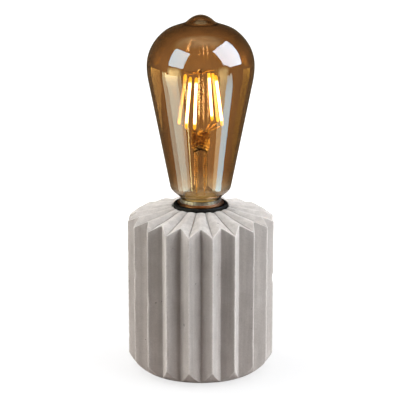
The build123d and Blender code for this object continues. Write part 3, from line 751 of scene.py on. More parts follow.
def concrete_material(s):
    """Cast concrete: clouds, faint runs, few air holes with painted shade in them, pale edges that are partly
    wear and partly a painted highlight, painted shade in the creases, and fine grain.
    """
    material, tree, shader, where = new_material("Cast concrete", Specular_IOR_Level=0.12)
    clouds = place_group(
        tree, cloud_group(), where, Scale=70.0, Detail=6.0, Contrast=1.0, Pale=s.pale, Dark=s.dark
    )
    runs = noise_at(tree, scaled(tree, where, (1.0, 1.0, 0.05)), 260.0, 4.0, 0.6)
    streak = ramp(tree, runs, 0.3, 0.7, 0.9, 1.07)
    speck = noise_at(tree, where, 1100.0, 3.0, 0.7)
    sand = ramp(tree, speck, 0.3, 0.7, 0.94, 1.04)
    shade = combine(tree, "MULTIPLY", streak, sand)
    colour = blend_colours(tree, 1.0, clouds.outputs["Color"], shade, "MULTIPLY")
    small = place_group(tree, pore_group(), where, Scale=300.0, Size=0.3, Share=0.06)
    large = place_group(tree, pore_group(), where, Scale=110.0, Size=0.16, Share=0.05)
    holes = combine(tree, "MAXIMUM", small.outputs["Mask"], large.outputs["Mask"])
    # Painted shade: the air holes are painted darker, as shade inside them.
    pore_shaded = blend_colours(tree, combine(tree, "MULTIPLY", holes, 0.5), colour, (0.2, 0.18, 0.165))
    # Pale edges: the edge mark pales the ridges and the upper edge, partly as real wear and partly as a
    # painted highlight where light catches their rounding.
    edge = add_node(tree, "ShaderNodeAttribute", attribute_name="edge")
    edge_wear_and_highlight = combine(tree, "MULTIPLY", edge.outputs["Fac"], ramp(tree, speck, 0.3, 0.6, 0.4, 0.9))
    worn = blend_colours(tree, edge_wear_and_highlight, pore_shaded, (0.78, 0.75, 0.71))
    # Painted shade: the crease mark darkens the fine groove between two petals.
    crease = add_node(tree, "ShaderNodeAttribute", attribute_name="crease")
    crease_shade = combine(tree, "MULTIPLY", crease.outputs["Fac"], 0.6)
    lined = blend_colours(tree, crease_shade, worn, (0.27, 0.25, 0.235))
    tree.links.new(lined, shader.inputs["Base Color"])
    first = grained(tree, shader, where, 2100.0, (0.78, 1.0), 0.12 * MM)[1]
    second = bump(tree, shader, speck, 0.18 * MM, 0.8, first)
    bump(tree, shader, combine(tree, "SUBTRACT", 1.0, holes), 0.4 * MM, 1.0, second)
    return material


def casting_mesh(s):
    """The smooth casting with its points, their places from valley to ridge, and how far each may wear."""
    azimuth, share = casting_columns(s)
    rows = casting_rows(s, share)
    radius = np.array([row[0] for row in rows])
    height = np.array([row[1] for row in rows])
    shaped = np.array([np.full(len(share), row[2]) for row in rows]).ravel()
    points = np.stack([radius * np.sin(azimuth), -radius * np.cos(azimuth), height], axis=-1)
    points = points.reshape(-1, 3)
    wide = len(share)
    tall = len(rows)
    faces = []
    for row in range(tall):
        low = row * wide
        high = ((row + 1) % tall) * wide
        for column in range(wide):
            after = (column + 1) % wide
            faces.append((low + column, low + after, high + after, high + column))
    return mesh_object("cast_body", points, faces), points, np.tile(share, tall), shaped


def wear_casting(s, casting, points, spread, shaped):
    """Make the cast faces uneven, wear and chip the edges, groove the top, and mark the edges that the
    material pales with wear and a painted highlight and the creases that it darkens with painted shade.
    """
    normals = np.empty(len(points) * 3)
    casting.data.vertex_normals.foreach_get("vector", normals)
    normals = normals.reshape(-1, 3)
    half = math.pi / s.pleats
    reach = np.hypot(points[:, 0], points[:, 1])
    from_ridge = (1 - spread) * half * reach
    from_valley = spread * half * reach
    level = np.abs(normals[:, 2])
    high_up = points[:, 2] > 0.5 * s.ridge_top
    ridge_wear = np.exp(-((from_ridge / (0.5 * MM)) ** 2))
    valley_wear = 0.25 * np.exp(-((from_valley / MM) ** 2))
    edge = np.where(level < 0.45, ridge_wear, valley_wear)
    corner = (level > 0.3) & (level < 0.86) & high_up
    edge = np.where(corner & (reach > s.well_radius + 6 * MM), np.maximum(edge, 0.8), edge) * shaped
    slow = cast_noise(points, 85.0, (3.1, 7.7, 1.9)) + 0.5 * cast_noise(points, 230.0, (9.2, 4.4, 6.0))
    fine = cast_noise(points, 520.0, (1.3, 8.8, 2.7))
    worn = np.clip(0.5 + cast_noise(points, 330.0, (5.5, 2.2, 8.1)) + 0.6 * fine, 0, None)
    moved = s.waviness * (0.6 * slow + 0.25 * fine) * shaped
    moved -= s.erosion * edge * worn
    moved -= casting_chips(s, points) * shaped
    on_top = (normals[:, 2] > 0.6) & high_up
    inner = np.clip((s.ridge_radius - reach) / (6 * MM), 0, 1)
    crease = np.where(on_top, np.exp(-((from_ridge / (0.28 * MM)) ** 2)), 0.0) * inner * shaped
    moved -= s.groove * crease
    points = points + normals * moved[:, None]
    casting.data.vertices.foreach_set("co", points.ravel())
    mark_points(casting, edge=np.clip(edge, 0, 1), crease=np.clip(crease, 0, 1))


def pierce_casting(s, casting):
    """Cut the cable inlet, the flat face round it and the pockets for the screw inserts."""
    outside = 60 * MM
    inlet = Matrix.Translation((0, 0, s.inlet_height)) @ Matrix.Rotation(-math.pi / 2, 4, "X")
    cutters = [drill(s.inlet_radius, 0.0, outside, 48, inlet)]
    cutters.append(drill(s.inlet_face_radius, s.inlet_face, outside, 48, inlet))
    pocket = s.recess_top + s.insert_depth
    for place in three_places(s.insert_circle):
        cutters.append(drill(s.insert_radius, 0.0, pocket, 24, place))
    cut_away(casting, cutters)


class LAMP_OT_casting(bpy.types.Operator):
    """Cast the pleated concrete body with its chipped edges, well, cavity and cable inlet"""

    bl_idname = "lamp.casting"
    bl_label = "Concrete casting"

    def execute(self, context):
        s = context.scene.lamp_casting
        casting, points, spread, shaped = casting_mesh(s)
        wear_casting(s, casting, points, spread, shaped)
        pierce_casting(s, casting)
        sharpen(casting, 50)
        casting.data.materials.clear()
        casting.data.materials.append(concrete_material(s))
        stand_for(casting, "lamp", "concrete", "concrete_body")
        return {"FINISHED"}


# Base: plate, pad, screws, grommet, tube


def felt_disc(s):
    """The felt pad: a disc with soft edges, a hole round each screw head and a slightly uneven nap."""
    quarter = [math.pi / 2 * step / 5 for step in range(6)]
    middle = s.radius - s.lip
    flat = [middle * step / 12 for step in range(12)]
    outline = [(radius, 0.0) for radius in flat]
    outline += [(middle + s.lip * math.sin(turn), s.lip - s.lip * math.cos(turn)) for turn in quarter]
    high = s.thickness - s.lip
    outline += [(middle + s.lip * math.cos(turn), high + s.lip * math.sin(turn)) for turn in quarter]
    outline += [(radius, s.thickness) for radius in reversed(flat)]
    disc = lathe("felt_disc", outline, 96)
    outside = 10 * MM
    places = three_places(s.hole_circle)
    cut_away(disc, [drill(s.hole_radius, -outside, outside, 40, place) for place in places])
    points = [vertex.co.copy() for vertex in disc.data.vertices]
    sunk = s.nap * (0.5 + 0.5 * cast_noise(points, 240.0, (2.2, 6.1, 3.3)))
    for vertex, point, depth in zip(disc.data.vertices, points, sunk):
        vertex.co = point - vertex.normal * float(np.clip(depth, 0, s.nap))
    sharpen(disc, 60)
    disc.data.materials.clear()
    return disc


class LAMP_OT_base(bpy.types.Operator):
    """Finish the base plate, its screws and inserts, the felt pad, the cable grommet and the threaded tube"""

    bl_idname = "lamp.base"
    bl_label = "Base and tube"

    def execute(self, context):
        rolled = (0.12, 1.0, 1.0)
        steel = metal_finish("Bare steel", (0.60, 0.61, 0.63), (0.46, 0.47, 0.49), rolled, (0.28, 0.48))
        zinc = metal_finish("Zinc plated steel", (0.72, 0.72, 0.70), (0.58, 0.59, 0.60), DRAWN, (0.2, 0.4))
        brass = metal_finish("Turned brass", (0.83, 0.62, 0.27), (0.66, 0.45, 0.17), TURNED, (0.18, 0.36))
        rubber = plain_finish(
            "Rubber", (0.035, 0.035, 0.036), (0.02, 0.02, 0.02), 220.0, 2600.0, (0.6, 0.85), 0.03 * MM
        )
        fibre = plain_finish(
            "Vulcanised fibre", (0.36, 0.13, 0.08), (0.25, 0.08, 0.05), 180.0, 1800.0, (0.5, 0.7), 0.02 * MM
        )
        felt = plain_finish(
            "Felt", (0.06, 0.06, 0.065), (0.028, 0.028, 0.03), 900.0, 2400.0, (0.9, 1.0), 0.3 * MM,
            Sheen_Weight=0.5, Sheen_Roughness=0.6,
        )
        dress("base_plate", steel)
        dress("base_screws", steel, 0.15 * MM)
        dress("threaded_inserts", brass)
        dress("cable_grommet", rubber)
        pad = felt_disc(context.scene.lamp_pad)
        pad.data.materials.append(felt)
        stand_for(pad, "lamp", "felt", "felt_pad")
        dress("seat_washer", fibre)
        for node in ("threaded_tube", "tube_washer", "lock_washer", "tube_nut"):
            dress(node, zinc)
        return {"FINISHED"}


# Lampholder


def sprung_coil(material):
    """The contact's spring as a piece of its own on the lamp, in place of the CAD spring."""
    coil = bpy.data.objects.new("sprung_coil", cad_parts["contact_spring"].data.copy())
    coil.data.materials.clear()
    coil.data.materials.append(material)
    bpy.context.scene.collection.objects.link(coil)
    stand_for(coil, "lamp", "zinc_steel", "contact_spring")
    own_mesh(coil)


class LAMP_OT_holder(bpy.types.Operator):
    """Finish the black lampholder, its contact block, terminals, shell and sprung contact"""

    bl_idname = "lamp.holder"
    bl_label = "Lampholder"

    def execute(self, context):
        black = plain_finish(
            "Black moulding", (0.011, 0.01, 0.009), (0.005, 0.005, 0.005), 260.0, 1900.0, (0.45, 0.65),
            0.02 * MM, Specular_IOR_Level=0.12,
        )
        china = plain_finish(
            "Porcelain", (0.90, 0.885, 0.85), (0.82, 0.80, 0.76), 120.0, 900.0, (0.12, 0.3),
            0.02 * MM, Coat_Weight=0.4,
        )
        zinc = bpy.data.materials["Zinc plated steel"]
        brass = bpy.data.materials["Turned brass"]
        nickel = metal_finish("Nickel", (0.76, 0.74, 0.70), (0.63, 0.61, 0.58), TURNED, (0.14, 0.3))
        for node in ("holder_dome", "holder_sleeve"):
            dress(node, black)
        dress("holder_collar", black, 0.1 * MM)
        dress("contact_block", china)
        dress("screw_shell", nickel)
        for node in ("live_terminal", "neutral_terminal", "shell_rivets", "contact_plunger"):
            dress(node, brass)
        for node in ("terminal_screws", "dome_grub_screw"):
            dress(node, zinc)
        sprung_coil(zinc)
        return {"FINISHED"}


# Bulb: glass, cap, stem


def bulb_outline(s, inset):
    """The bulb's outline from the neck's foot to the tip, drawn in by an inset."""
    neck = Vector((s.neck_radius - inset, s.neck_top))
    foot = Vector((s.taper_radius - inset, s.taper_foot))
    waist = Vector((s.waist_radius - inset, s.waist))
    top = waist - Vector((s.waist_inset, s.waist_blend))
    run = (top - foot).normalized()
    climb = foot.y - neck.y
    rise = s.dome_rise - inset
    turn = math.acos(s.crown_radius / s.waist_radius)
    crown = Vector((waist.x * math.cos(turn), waist.y + rise * math.sin(turn)))
    crown_run = Vector((-waist.x * math.sin(turn), rise * math.cos(turn))).normalized()
    tip = Vector((0.0, s.tip - inset))
    hollow = tip + Vector((s.pip_foot_radius, -s.pip_foot_drop))
    hollow_run = Vector((-math.cos(s.pip_foot_lean), math.sin(s.pip_foot_lean)))
    pip = tip + Vector((s.pip_radius - 0.5 * inset, -s.pip_drop))
    pip_run = Vector((-math.cos(s.pip_lean), math.sin(s.pip_lean)))
    corner = Vector((waist.x, top.y + run.y * (waist.x - top.x) / run.x))
    points = [Vector((neck.x, s.neck_bottom)), neck]
    points += bezier(neck, neck + Vector((0, 0.22 * climb)), foot - run * (0.5 * climb), foot, 14)
    straight = 28
    points += [foot.lerp(top, step / straight) for step in range(1, straight + 1)]
    points += bezier(top, top.lerp(corner, 2 / 3), waist.lerp(corner, 2 / 3), waist, 8)
    dome = 30
    for step in range(1, dome + 1):
        lift = turn * step / dome
        points.append(Vector((waist.x * math.cos(lift), waist.y + rise * math.sin(lift))))
    reach = 0.36 * (hollow - crown).length
    points += bezier(crown, crown + crown_run * reach, hollow - hollow_run * reach, hollow, 14)
    reach = 0.4 * (pip - hollow).length
    points += bezier(hollow, hollow + hollow_run * reach, pip - pip_run * reach, pip, 8)
    reach = 0.11 * (tip - pip).length
    points += bezier(pip, pip + pip_run * reach, tip + Vector((0.54 * s.pip_radius, 0)), tip, 14)
    return [(point.x, point.y) for point in points]


def amber_material(s):
    """Amber glass that fades to clear at the neck, with painted shade where it is seen edge on."""
    material, tree, shader, where = new_material(
        "Amber glass", Transmission_Weight=1.0, IOR=1.46, Roughness=0.0
    )
    haze = combine(tree, "SUBTRACT", noise_at(tree, where, 40.0, 2.0), 0.5)
    wander = combine(tree, "MULTIPLY", haze, 6 * MM)
    level = combine(tree, "ADD", axes(tree, where)["Z"], wander)
    share = ramp(tree, level, s.neck_top + 2 * MM, s.taper_foot + 7 * MM)
    # Painted shade: the glass is painted dark where it is seen edge on.
    facing = add_node(tree, "ShaderNodeLayerWeight", Blend=0.5)
    turned = ramp(tree, facing.outputs["Facing"], 0.15, 0.97)
    coat = noise_at(tree, scaled(tree, where, (1.0, 1.0, 0.12)), 60.0, 2.0)
    uneven = ramp(tree, coat, 0.3, 0.7, 0.9, 1.08)
    amber = blend_colours(tree, 1.0, s.amber, uneven, "MULTIPLY")
    body = blend_colours(tree, share, s.clear, amber)
    tree.links.new(blend_colours(tree, turned, body, s.edge_on_shade), shader.inputs["Base Color"])
    depth = add_node(tree, "ShaderNodeVolumeAbsorption", Color=(0.52, 0.30, 0.02, 1.0), Density=330.0)
    tree.links.new(depth.outputs[0], tree.nodes["Material Output"].inputs["Volume"])
    return material


def mount_material(s):
    """Clear wavy glass whose flat press is rough, with gold and dark specks that are painted reflection and
    painted shade, and painted glints that glow.
    """
    material, tree, shader, where = new_material("Clear glass", Transmission_Weight=1.0, IOR=1.5)
    waves, wavy = grained(tree, shader, where, 240.0, (0.0, 0.03), 0.3 * MM)
    rough = noise_at(tree, where, 420.0, 3.0)
    height = axes(tree, where)["Z"]
    above = ramp(tree, height, s.press_foot, s.press_foot + 4 * MM)
    below = ramp(tree, height, s.press_top, s.press_top + 2 * MM, 1.0, 0.0)
    zone = combine(tree, "MULTIPLY", above, below)
    bump(tree, shader, combine(tree, "MULTIPLY", rough, zone), 0.8 * MM, 1.0, wavy)
    # Painted reflection and shade: gold and dark specks in the press stand for the light and shade seen in
    # crumpled glass.
    glint_specks = ramp(tree, rough, 0.4, 0.48)
    shade_specks = ramp(tree, rough, 0.53, 0.6)
    specks = blend_colours(tree, glint_specks, (0.97, 0.93, 0.8), (0.85, 0.5, 0.1))
    specks = blend_colours(tree, shade_specks, specks, (0.2, 0.09, 0.02))
    tree.links.new(blend_colours(tree, zone, (0.82, 0.78, 0.72), specks), shader.inputs["Base Color"])
    # Painted glints: the press glows where the filaments' light would catch in it, though it is no lamp.
    caught = ramp(tree, waves, 0.5, 0.62)
    caught = combine(tree, "MULTIPLY", caught, combine(tree, "MULTIPLY", zone, glint_specks))
    glint = blend_colours(tree, caught, (0.0, 0.0, 0.0), (1.0, 0.66, 0.16))
    tree.links.new(glint, shader.inputs["Emission Color"])
    shader.inputs["Emission Strength"].default_value = 1.3
    return material


class LAMP_OT_bulb(bpy.types.Operator):
    """Blow the amber bulb and finish its cap, driver and glass mount"""

    bl_idname = "lamp.bulb"
    bl_label = "Bulb"

    def execute(self, context):
        s = context.scene.lamp_bulb
        outline = bulb_outline(s, 0.0) + bulb_outline(s, s.wall)[::-1]
        glass = lathe("amber_bulb", outline, 128)
        glass.data.materials.append(amber_material(s))
        stand_for(glass, "bulb", "amber_glass", "bulb_glass")

        dress("bulb_stem", mount_material(s))
        copper = metal_finish("Lacquered brass", (0.52, 0.25, 0.14), (0.27, 0.11, 0.05), TURNED, (0.34, 0.5))
        dress("screw_cap", copper, 0.12 * MM)
        dull = metal_finish("Dull nickel", (0.58, 0.52, 0.48), (0.14, 0.11, 0.09), DRAWN, (0.36, 0.6))
        dress("crimp_ring", dull, 0.08 * MM)
        dress("cap_contact", bpy.data.materials["Nickel"])
        jet = plain_finish(
            "Black glass", (0.03, 0.022, 0.04), (0.018, 0.014, 0.022), 200.0, 900.0, (0.08, 0.2), 0.02 * MM
        )
        dress("cap_insulator", jet)
        cement = plain_finish(
            "Cap cement", (0.75, 0.72, 0.66), (0.6, 0.57, 0.5), 300.0, 2200.0, (0.8, 0.95), 0.1 * MM
        )
        dress("cap_cement", cement)
        # Painted light: the board glows as if lit by the filaments above it, though it is no lamp.
        board = plain_finish(
            "Gilt circuit board with painted glow", (0.88, 0.64, 0.22), (0.5, 0.33, 0.08), 260.0, 1500.0, (0.3, 0.5), 0.02 * MM,
            Emission_Color=(1.0, 0.7, 0.22, 1.0), Emission_Strength=0.42,
        )
        dress("driver_board", board)
        for node in ("driver_capacitor", "driver_chip"):
            dress(node, bpy.data.materials["Black moulding"])
        return {"FINISHED"}


# Filaments and wires


def phosphor_material(s):
    """Lit yellow phosphor with a row of brighter points and unlit amber ends."""
    material, tree, shader, where = new_material("Phosphor", Base_Color=(0.9, 0.68, 0.2), Roughness=0.5)
    phase = combine(tree, "MULTIPLY", axes(tree, where)["Z"], 2 * math.pi / s.bead_pitch)
    wave = combine(tree, "SINE", phase, 0.0)
    beads = ramp(tree, wave, -1.0, 0.6, 0.4, 1.0)
    power = add_node(tree, "ShaderNodeAttribute", attribute_name="power")
    facing = add_node(tree, "ShaderNodeLayerWeight", Blend=0.5)
    side = [channel * s.side_share for channel in s.bare]
    core = blend_colours(tree, ramp(tree, facing.outputs["Facing"], 0.2, 0.7), s.lit, side)
    lit = blend_colours(tree, 1.0, core, combine(tree, "MULTIPLY", beads, power.outputs["Fac"]), "MULTIPLY")
    mark = add_node(tree, "ShaderNodeAttribute", attribute_name="bare_end")
    bare = [channel * s.end_share for channel in s.bare]
    tree.links.new(blend_colours(tree, mark.outputs["Fac"], lit, bare), shader.inputs["Emission Color"])
    shader.inputs["Emission Strength"].default_value = s.glow
    return material


class LAMP_OT_filaments(bpy.types.Operator):
    """Make the six lit filaments with their unlit ends, and finish the wires that carry them"""

    bl_idname = "lamp.filaments"
    bl_label = "Filaments and wires"

    def execute(self, context):
        s = context.scene.lamp_filaments
        wiry = (1.0, 1.0, 0.2)
        gold = metal_finish("Gilt wire", (0.93, 0.68, 0.28), (0.82, 0.52, 0.18), wiry, (0.12, 0.28))
        count = 60
        sides = 14
        paths = []
        ends = []
        strengths = []
        for azimuth, power in zip(AZIMUTHS, POWERS):
            foot = polar(s.foot_ring, azimuth, s.foot)
            top = polar(s.top_ring, azimuth, s.top)
            path = [foot.lerp(top, step / count) for step in range(count + 1)]
            radii = []
            for step in range(count + 1):
                out = min(step, count - step) / 3.0
                round_end = math.sqrt(max(0.0, 1 - (1 - min(out, 1.0)) ** 2))
                radii.append(s.radius * max(0.25, round_end) * (1 + 0.03 * math.cos(step * math.pi)))
            paths.append((path, radii))
            for step in range(count + 1):
                near = min(step, count - step) / count * (top - foot).length
                ends += [max(0.0, min(1.0, (s.bare_end - near) / s.fade))] * sides
                strengths += [power] * sides
        sticks = rods("phosphor_sticks", paths, sides)
        mark_points(sticks, bare_end=ends, power=strengths)
        sticks.data.materials.append(phosphor_material(s))
        stand_for(sticks, "bulb", "filament", "led_filaments")
        for node in ("upper_wires", "lower_wires", "lead_wires"):
            dress(node, gold)
        return {"FINISHED"}


# Stage


def mirrored_share(tree):
    """1 for rays that were mirrored on their way, 0 for rays that came straight or only through glass."""
    path = tree.nodes.new("ShaderNodeLightPath")
    return combine(tree, "GREATER_THAN", path.outputs["Glossy Depth"], 0.5)


def steep_share(tree):
    """0 for light that would only glance off the outside of the glass dome, 1 for other light."""
    dome_centre = (0.0, 0.0, 186 * MM)
    glancing = 15 * MM
    steep = 21 * MM
    path = tree.nodes.new("ShaderNodeLightPath")
    away = add_node(tree, "ShaderNodeVectorMath", operation="DISTANCE")
    tree.links.new(tree.nodes.new("ShaderNodeNewGeometry").outputs["Position"], away.inputs[0])
    away.inputs[1].default_value = dome_centre
    nearer = combine(tree, "SUBTRACT", away.outputs["Value"], path.outputs["Ray Length"])
    facing = ramp(tree, nearer, glancing, steep)
    below = ramp(tree, nearer, -steep, -glancing, 1.0, 0.0)
    inside = combine(tree, "GREATER_THAN", path.outputs["Transmission Depth"], 0.5)
    return combine(tree, "MAXIMUM", inside, combine(tree, "MAXIMUM", facing, below))


def face_middle(piece, azimuth, elevation, distance):
    """Put a lamp or panel at an azimuth and elevation round the object's middle, facing it."""
    middle = Vector((0.0, 0.0, 150 * MM))
    flat = math.cos(math.radians(elevation)) * distance
    piece.location = middle + polar(flat, azimuth, math.sin(math.radians(elevation)) * distance)
    piece.rotation_euler = (piece.location - middle).to_track_quat("Z", "Y").to_euler()


def soft_light(name, azimuth, elevation, distance, size, radiance, rays, colour):
    """A rectangular lamp that faces the object's middle and that only some rays see."""
    lamp = bpy.data.lights.new(name, "AREA")
    lamp.shape = "RECTANGLE"
    lamp.size, lamp.size_y = size
    lamp.energy = 4 * radiance * lamp.size * lamp.size_y
    lamp.color = colour
    holder = bpy.data.objects.new(name, lamp)
    face_middle(holder, azimuth, elevation, distance)
    holder.visible_camera = False
    holder.visible_diffuse = "diffuse" in rays
    holder.visible_glossy = "glossy" in rays
    holder.visible_transmission = "transmission" in rays
    if "glossy" in rays:
        lamp.use_nodes = True
        tree = lamp.node_tree
        share = combine(tree, "MULTIPLY", mirrored_share(tree), steep_share(tree))
        tree.links.new(share, tree.nodes["Emission"].inputs["Strength"])
    bpy.context.scene.collection.objects.link(holder)


def light_panel(panel):
    """Give a panel a light that only mirrored rays see, and return its tree, light and coordinates."""
    material = bpy.data.materials.new(panel.name)
    material.use_nodes = True
    tree = material.node_tree
    light = tree.nodes.new("ShaderNodeEmission")
    empty = tree.nodes.new("ShaderNodeBsdfTransparent")
    surface = mix_shaders(tree, mirrored_share(tree), empty.outputs[0], light.outputs[0])
    tree.links.new(surface, tree.nodes["Material Output"].inputs["Surface"])
    panel.data.materials.append(material)
    panel.visible_camera = False
    panel.visible_diffuse = False
    panel.visible_shadow = False
    return tree, light, tree.nodes.new("ShaderNodeTexCoord").outputs["Object"]


def floor_sheet(name, inner, outer, reach, radiance, near, far, height=2 * MM, mirrored=True):
    """A bright sheet on the floor that only reflections and the glass see and that fades at its outer end."""
    count = 12
    points = []
    for step in range(count + 1):
        azimuths = [ends[0] + (ends[1] - ends[0]) * step / count for ends in (inner, outer)]
        points += [polar(distance, azimuth, height) for distance, azimuth in zip(reach, azimuths)]
    faces = [(2 * step, 2 * step + 1, 2 * step + 3, 2 * step + 2) for step in range(count)]
    sheet = mesh_object(name, points, faces)
    sheet.visible_glossy = mirrored
    tree, light, where = light_panel(sheet)
    away = from_origin(tree, where)
    outward = ramp(tree, away, reach[0], reach[1])
    tree.links.new(blend_colours(tree, outward, near, far), light.inputs["Color"])
    fade = ramp(tree, away, 0.7 * reach[1], reach[1], radiance, 0.0)
    tree.links.new(fade, light.inputs["Strength"])


def veil(name, azimuth, elevation, distance, size, radiance, colour, edge=0.7):
    """A soft-edged bright panel, facing the object's middle, that only reflections and the glass see."""
    panel = flat_sheet(name, *size)
    face_middle(panel, azimuth, elevation, distance)
    tree, light, where = light_panel(panel)
    parts = axes(tree, where)
    strength = ramp(tree, noise_at(tree, where, 3.0, 2.0), 0.35, 0.65, 0.55 * radiance, radiance)
    for title, half in (("X", size[0] / 2), ("Y", size[1] / 2)):
        off = combine(tree, "ABSOLUTE", parts[title], 0.0)
        strength = combine(tree, "MULTIPLY", strength, ramp(tree, off, (1 - edge) * half, half, 1.0, 0.0))
    feed(tree, colour, light.inputs["Color"])
    feed(tree, strength, light.inputs["Strength"])


def seen_rays(tree, *titles):
    """1 for the named kinds of ray, 0 for others."""
    path = tree.nodes.new("ShaderNodeLightPath")
    share = path.outputs[titles[0]]
    for title in titles[1:]:
        share = combine(tree, "MAXIMUM", share, path.outputs[title])
    return share


def mix_shaders(tree, share, first, second):
    """A mix of two shaders."""
    mix = tree.nodes.new("ShaderNodeMixShader")
    tree.links.new(share, mix.inputs[0])
    tree.links.new(first, mix.inputs[1])
    tree.links.new(second, mix.inputs[2])
    return mix.outputs[0]


def floor_material(s):
    """A pale floor that the camera and the glass see as white with a soft shadow, and gloss sees as dark."""
    material, tree, shader, where = new_material("Pale floor", Roughness=0.9, Specular_IOR_Level=0.1)
    away = from_origin(tree, where)
    outward = ramp(tree, away, 0.05, 0.2)
    bounce = blend_colours(tree, outward, s.near_bounce, s.bounce)
    tone = blend_colours(tree, seen_rays(tree, "Is Diffuse Ray"), s.floor, bounce)
    tree.links.new(tone, shader.inputs["Base Color"])
    light = tree.nodes.new("ShaderNodeEmission")
    through = seen_rays(tree, "Is Transmission Ray")
    seen = ramp(tree, away, 0.05, 0.3, 0.95, 1.5)
    refracted = ramp(tree, away, 0.1, 0.36, 0.2, 1.1)
    strength = add_node(tree, "ShaderNodeMix", data_type="FLOAT")
    for value, socket in ((through, 0), (seen, 2), (refracted, 3)):
        tree.links.new(value, strength.inputs[socket])
    tree.links.new(strength.outputs[0], light.inputs["Strength"])
    clear = combine(tree, "MULTIPLY", through, 0.28)
    straight = seen_rays(tree, "Is Camera Ray", "Is Transmission Ray")
    direct = combine(tree, "ADD", combine(tree, "MULTIPLY", straight, 0.72), clear)
    dark = add_node(tree, "ShaderNodeEmission", Color=(*s.gloss, 1.0))
    mirrored = combine(tree, "SUBTRACT", seen_rays(tree, "Is Glossy Ray"), through)
    matt = mix_shaders(tree, mirrored, shader.outputs[0], dark.outputs[0])
    whole = mix_shaders(tree, direct, matt, light.outputs[0])
    tree.links.new(whole, tree.nodes["Material Output"].inputs["Surface"])
    return material


def studio_world(s):
    """A backdrop that is white to the camera and the glass, dim to matt surfaces and dark to reflections."""
    world = bpy.data.worlds.new("Studio")
    world.use_nodes = True
    tree = world.node_tree
    room = tree.nodes["Background"]
    room.inputs["Color"].default_value = (*s.room, 1.0)
    gloss = add_node(tree, "ShaderNodeBackground", Color=(*s.gloss, 1.0))
    white = add_node(tree, "ShaderNodeBackground", Color=(1.0, 1.0, 1.0, 1.0))
    height = axes(tree, tree.nodes.new("ShaderNodeTexCoord").outputs["Generated"])["Z"]
    low = ramp(tree, height, 0.12, 0.55, 1.0, 0.1)
    through = combine(tree, "MULTIPLY", seen_rays(tree, "Is Transmission Ray"), low)
    backdrop = combine(tree, "MAXIMUM", seen_rays(tree, "Is Camera Ray"), through)
    dim = mix_shaders(tree, seen_rays(tree, "Is Glossy Ray"), room.outputs[0], gloss.outputs[0])
    seen = mix_shaders(tree, backdrop, dim, white.outputs[0])
    tree.links.new(seen, tree.nodes["World Output"].inputs["Surface"])
    return world


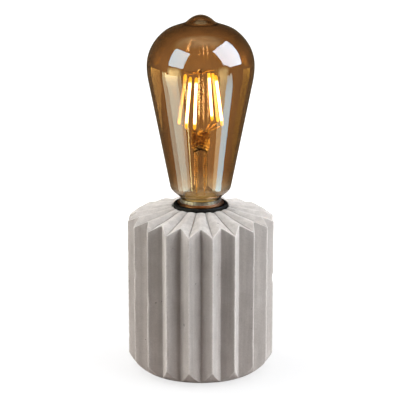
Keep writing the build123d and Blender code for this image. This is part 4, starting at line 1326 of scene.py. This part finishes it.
class LAMP_OT_stage(bpy.types.Operator):
    """Set the floor, the studio lights, the backdrop and the camera"""

    bl_idname = "lamp.stage"
    bl_label = "Stage"

    def execute(self, context):
        s = context.scene.lamp_stage
        scene = context.scene
        floor = flat_sheet("floor", s.floor_size, s.floor_size)
        floor.data.materials.append(floor_material(s))
        scene.world = studio_world(s)

        matt = ("diffuse",)
        warm = (1.0, 0.98, 0.96)
        cool = (0.985, 1.0, 1.03)
        softboxes = (
            ("Left front softbox", -74, 3.35, warm),
            ("Left back softbox", -114, 4.6, warm),
            ("Right front softbox", 62, 4.35, cool),
            ("Right back softbox", 105, 3.8, cool),
        )
        for name, azimuth, radiance, colour in softboxes:
            soft_light(name, azimuth, 16, 0.85, (0.6, 0.6), radiance, matt, colour)
        soft_light("Top light", 180, 84, 1.1, (0.9, 0.9), 3.55, matt, (0.99, 1.0, 1.02))
        gloss = ("glossy", "transmission")
        soft_light("Left window", -54, 29, 0.85, (0.54, 0.67), 9.7, gloss, (0.64, 1.0, 1.24))
        soft_light("Right window", 74, 33, 0.85, (0.74, 0.8), 12.2, gloss, (0.77, 1.0, 1.26))
        sky = (0.5, 0.96, 1.23)
        cream = (1.0, 0.92, 0.45)
        dull = (0.5, 0.48, 0.32)
        dim = (0.2, 0.18, 0.08)
        olive = (0.36, 0.33, 0.23)
        teal = (0.36, 0.5, 0.5)
        bright = (1.7, 1.6, 0.9)
        reach = (0.12, 1.3)
        above = 3 * MM
        floor_sheet("Right sheet", (58, 98), (58, 67), reach, 8.2, sky, (0.6, 0.6, 0.4))
        floor_sheet("Right cream sheet", (48, 58), (40, 58), reach, 7.5, dull, cream)
        floor_sheet("Left sheet", (-98, -38), (-88, -42), reach, 7.0, (0.4, 0.46, 0.42), cream)
        floor_sheet("Left band", (-64, -48), (-82, -50), reach, 12.0, teal, bright, above)
        floor_sheet("Left line", (-35, -32.5), (-35, -32.5), (0.14, 0.5), 14.0, cream, cream, above)
        right, left = (104, 130), (-134, -98)
        floor_sheet("Right back sheet", right, right, (0.3, 1.6), 14.0, dim, cream, mirrored=False)
        floor_sheet("Left back sheet", left, left, (0.39, 1.6), 19.0, olive, cream, mirrored=False)
        veil("Left veil", -57, -10.2, 0.85, (0.6, 0.66), 14.0, cream)
        veil("Right veil", 49, -10.2, 0.85, (0.44, 0.8), 8.0, cream)
        veil("Top veil", 0, 84, 1.1, (2.4, 1.1), 2.4, (1.0, 0.97, 0.62), 0.95)

        camera = bpy.data.cameras.new("Camera")
        camera.lens = s.focal
        camera.sensor_width = 36.0
        camera.shift_x = -0.0017
        view = bpy.data.objects.new("Camera", camera)
        view.location = (0.0, -s.camera_back, s.camera_up)
        view.rotation_euler = (math.pi / 2 - s.camera_pitch, 0.0, 0.0)
        scene.collection.objects.link(view)
        scene.camera = view
        scene.view_settings.view_transform = "Standard"
        return {"FINISHED"}


class LAMP_PT_panel(bpy.types.Panel):
    """The lamp's settings and the steps that build it"""

    bl_idname = "LAMP_PT_panel"
    bl_label = "Pleated Concrete Lamp"
    bl_space_type = "VIEW_3D"
    bl_region_type = "UI"
    bl_category = "Lamp"

    def draw(self, context):
        for title, group in SETTINGS.items():
            box = self.layout.box()
            for key in group.__annotations__:
                box.prop(getattr(context.scene, title), key)
        for step in STEPS:
            self.layout.operator(step.bl_idname)


STEPS = (LAMP_OT_casting, LAMP_OT_base, LAMP_OT_holder, LAMP_OT_bulb, LAMP_OT_filaments, LAMP_OT_stage)


def register():
    """Register the classes and hang the settings on the scene."""
    for group in SETTINGS.values():
        bpy.utils.register_class(group)
    for title, group in SETTINGS.items():
        setattr(bpy.types.Scene, title, PointerProperty(type=group))
    for step in (*STEPS, LAMP_PT_panel):
        bpy.utils.register_class(step)


def unregister():
    """Take everything back out in reverse order."""
    for step in (LAMP_PT_panel, *reversed(STEPS)):
        bpy.utils.unregister_class(step)
    for title, group in SETTINGS.items():
        delattr(bpy.types.Scene, title)
        bpy.utils.unregister_class(group)


def main():
    """Build the lamp step by step."""
    register()
    bpy.ops.lamp.casting()
    bpy.ops.lamp.base()
    bpy.ops.lamp.holder()
    bpy.ops.lamp.bulb()
    bpy.ops.lamp.filaments()
    bpy.ops.lamp.stage()


if __name__ == "__main__":
    main()
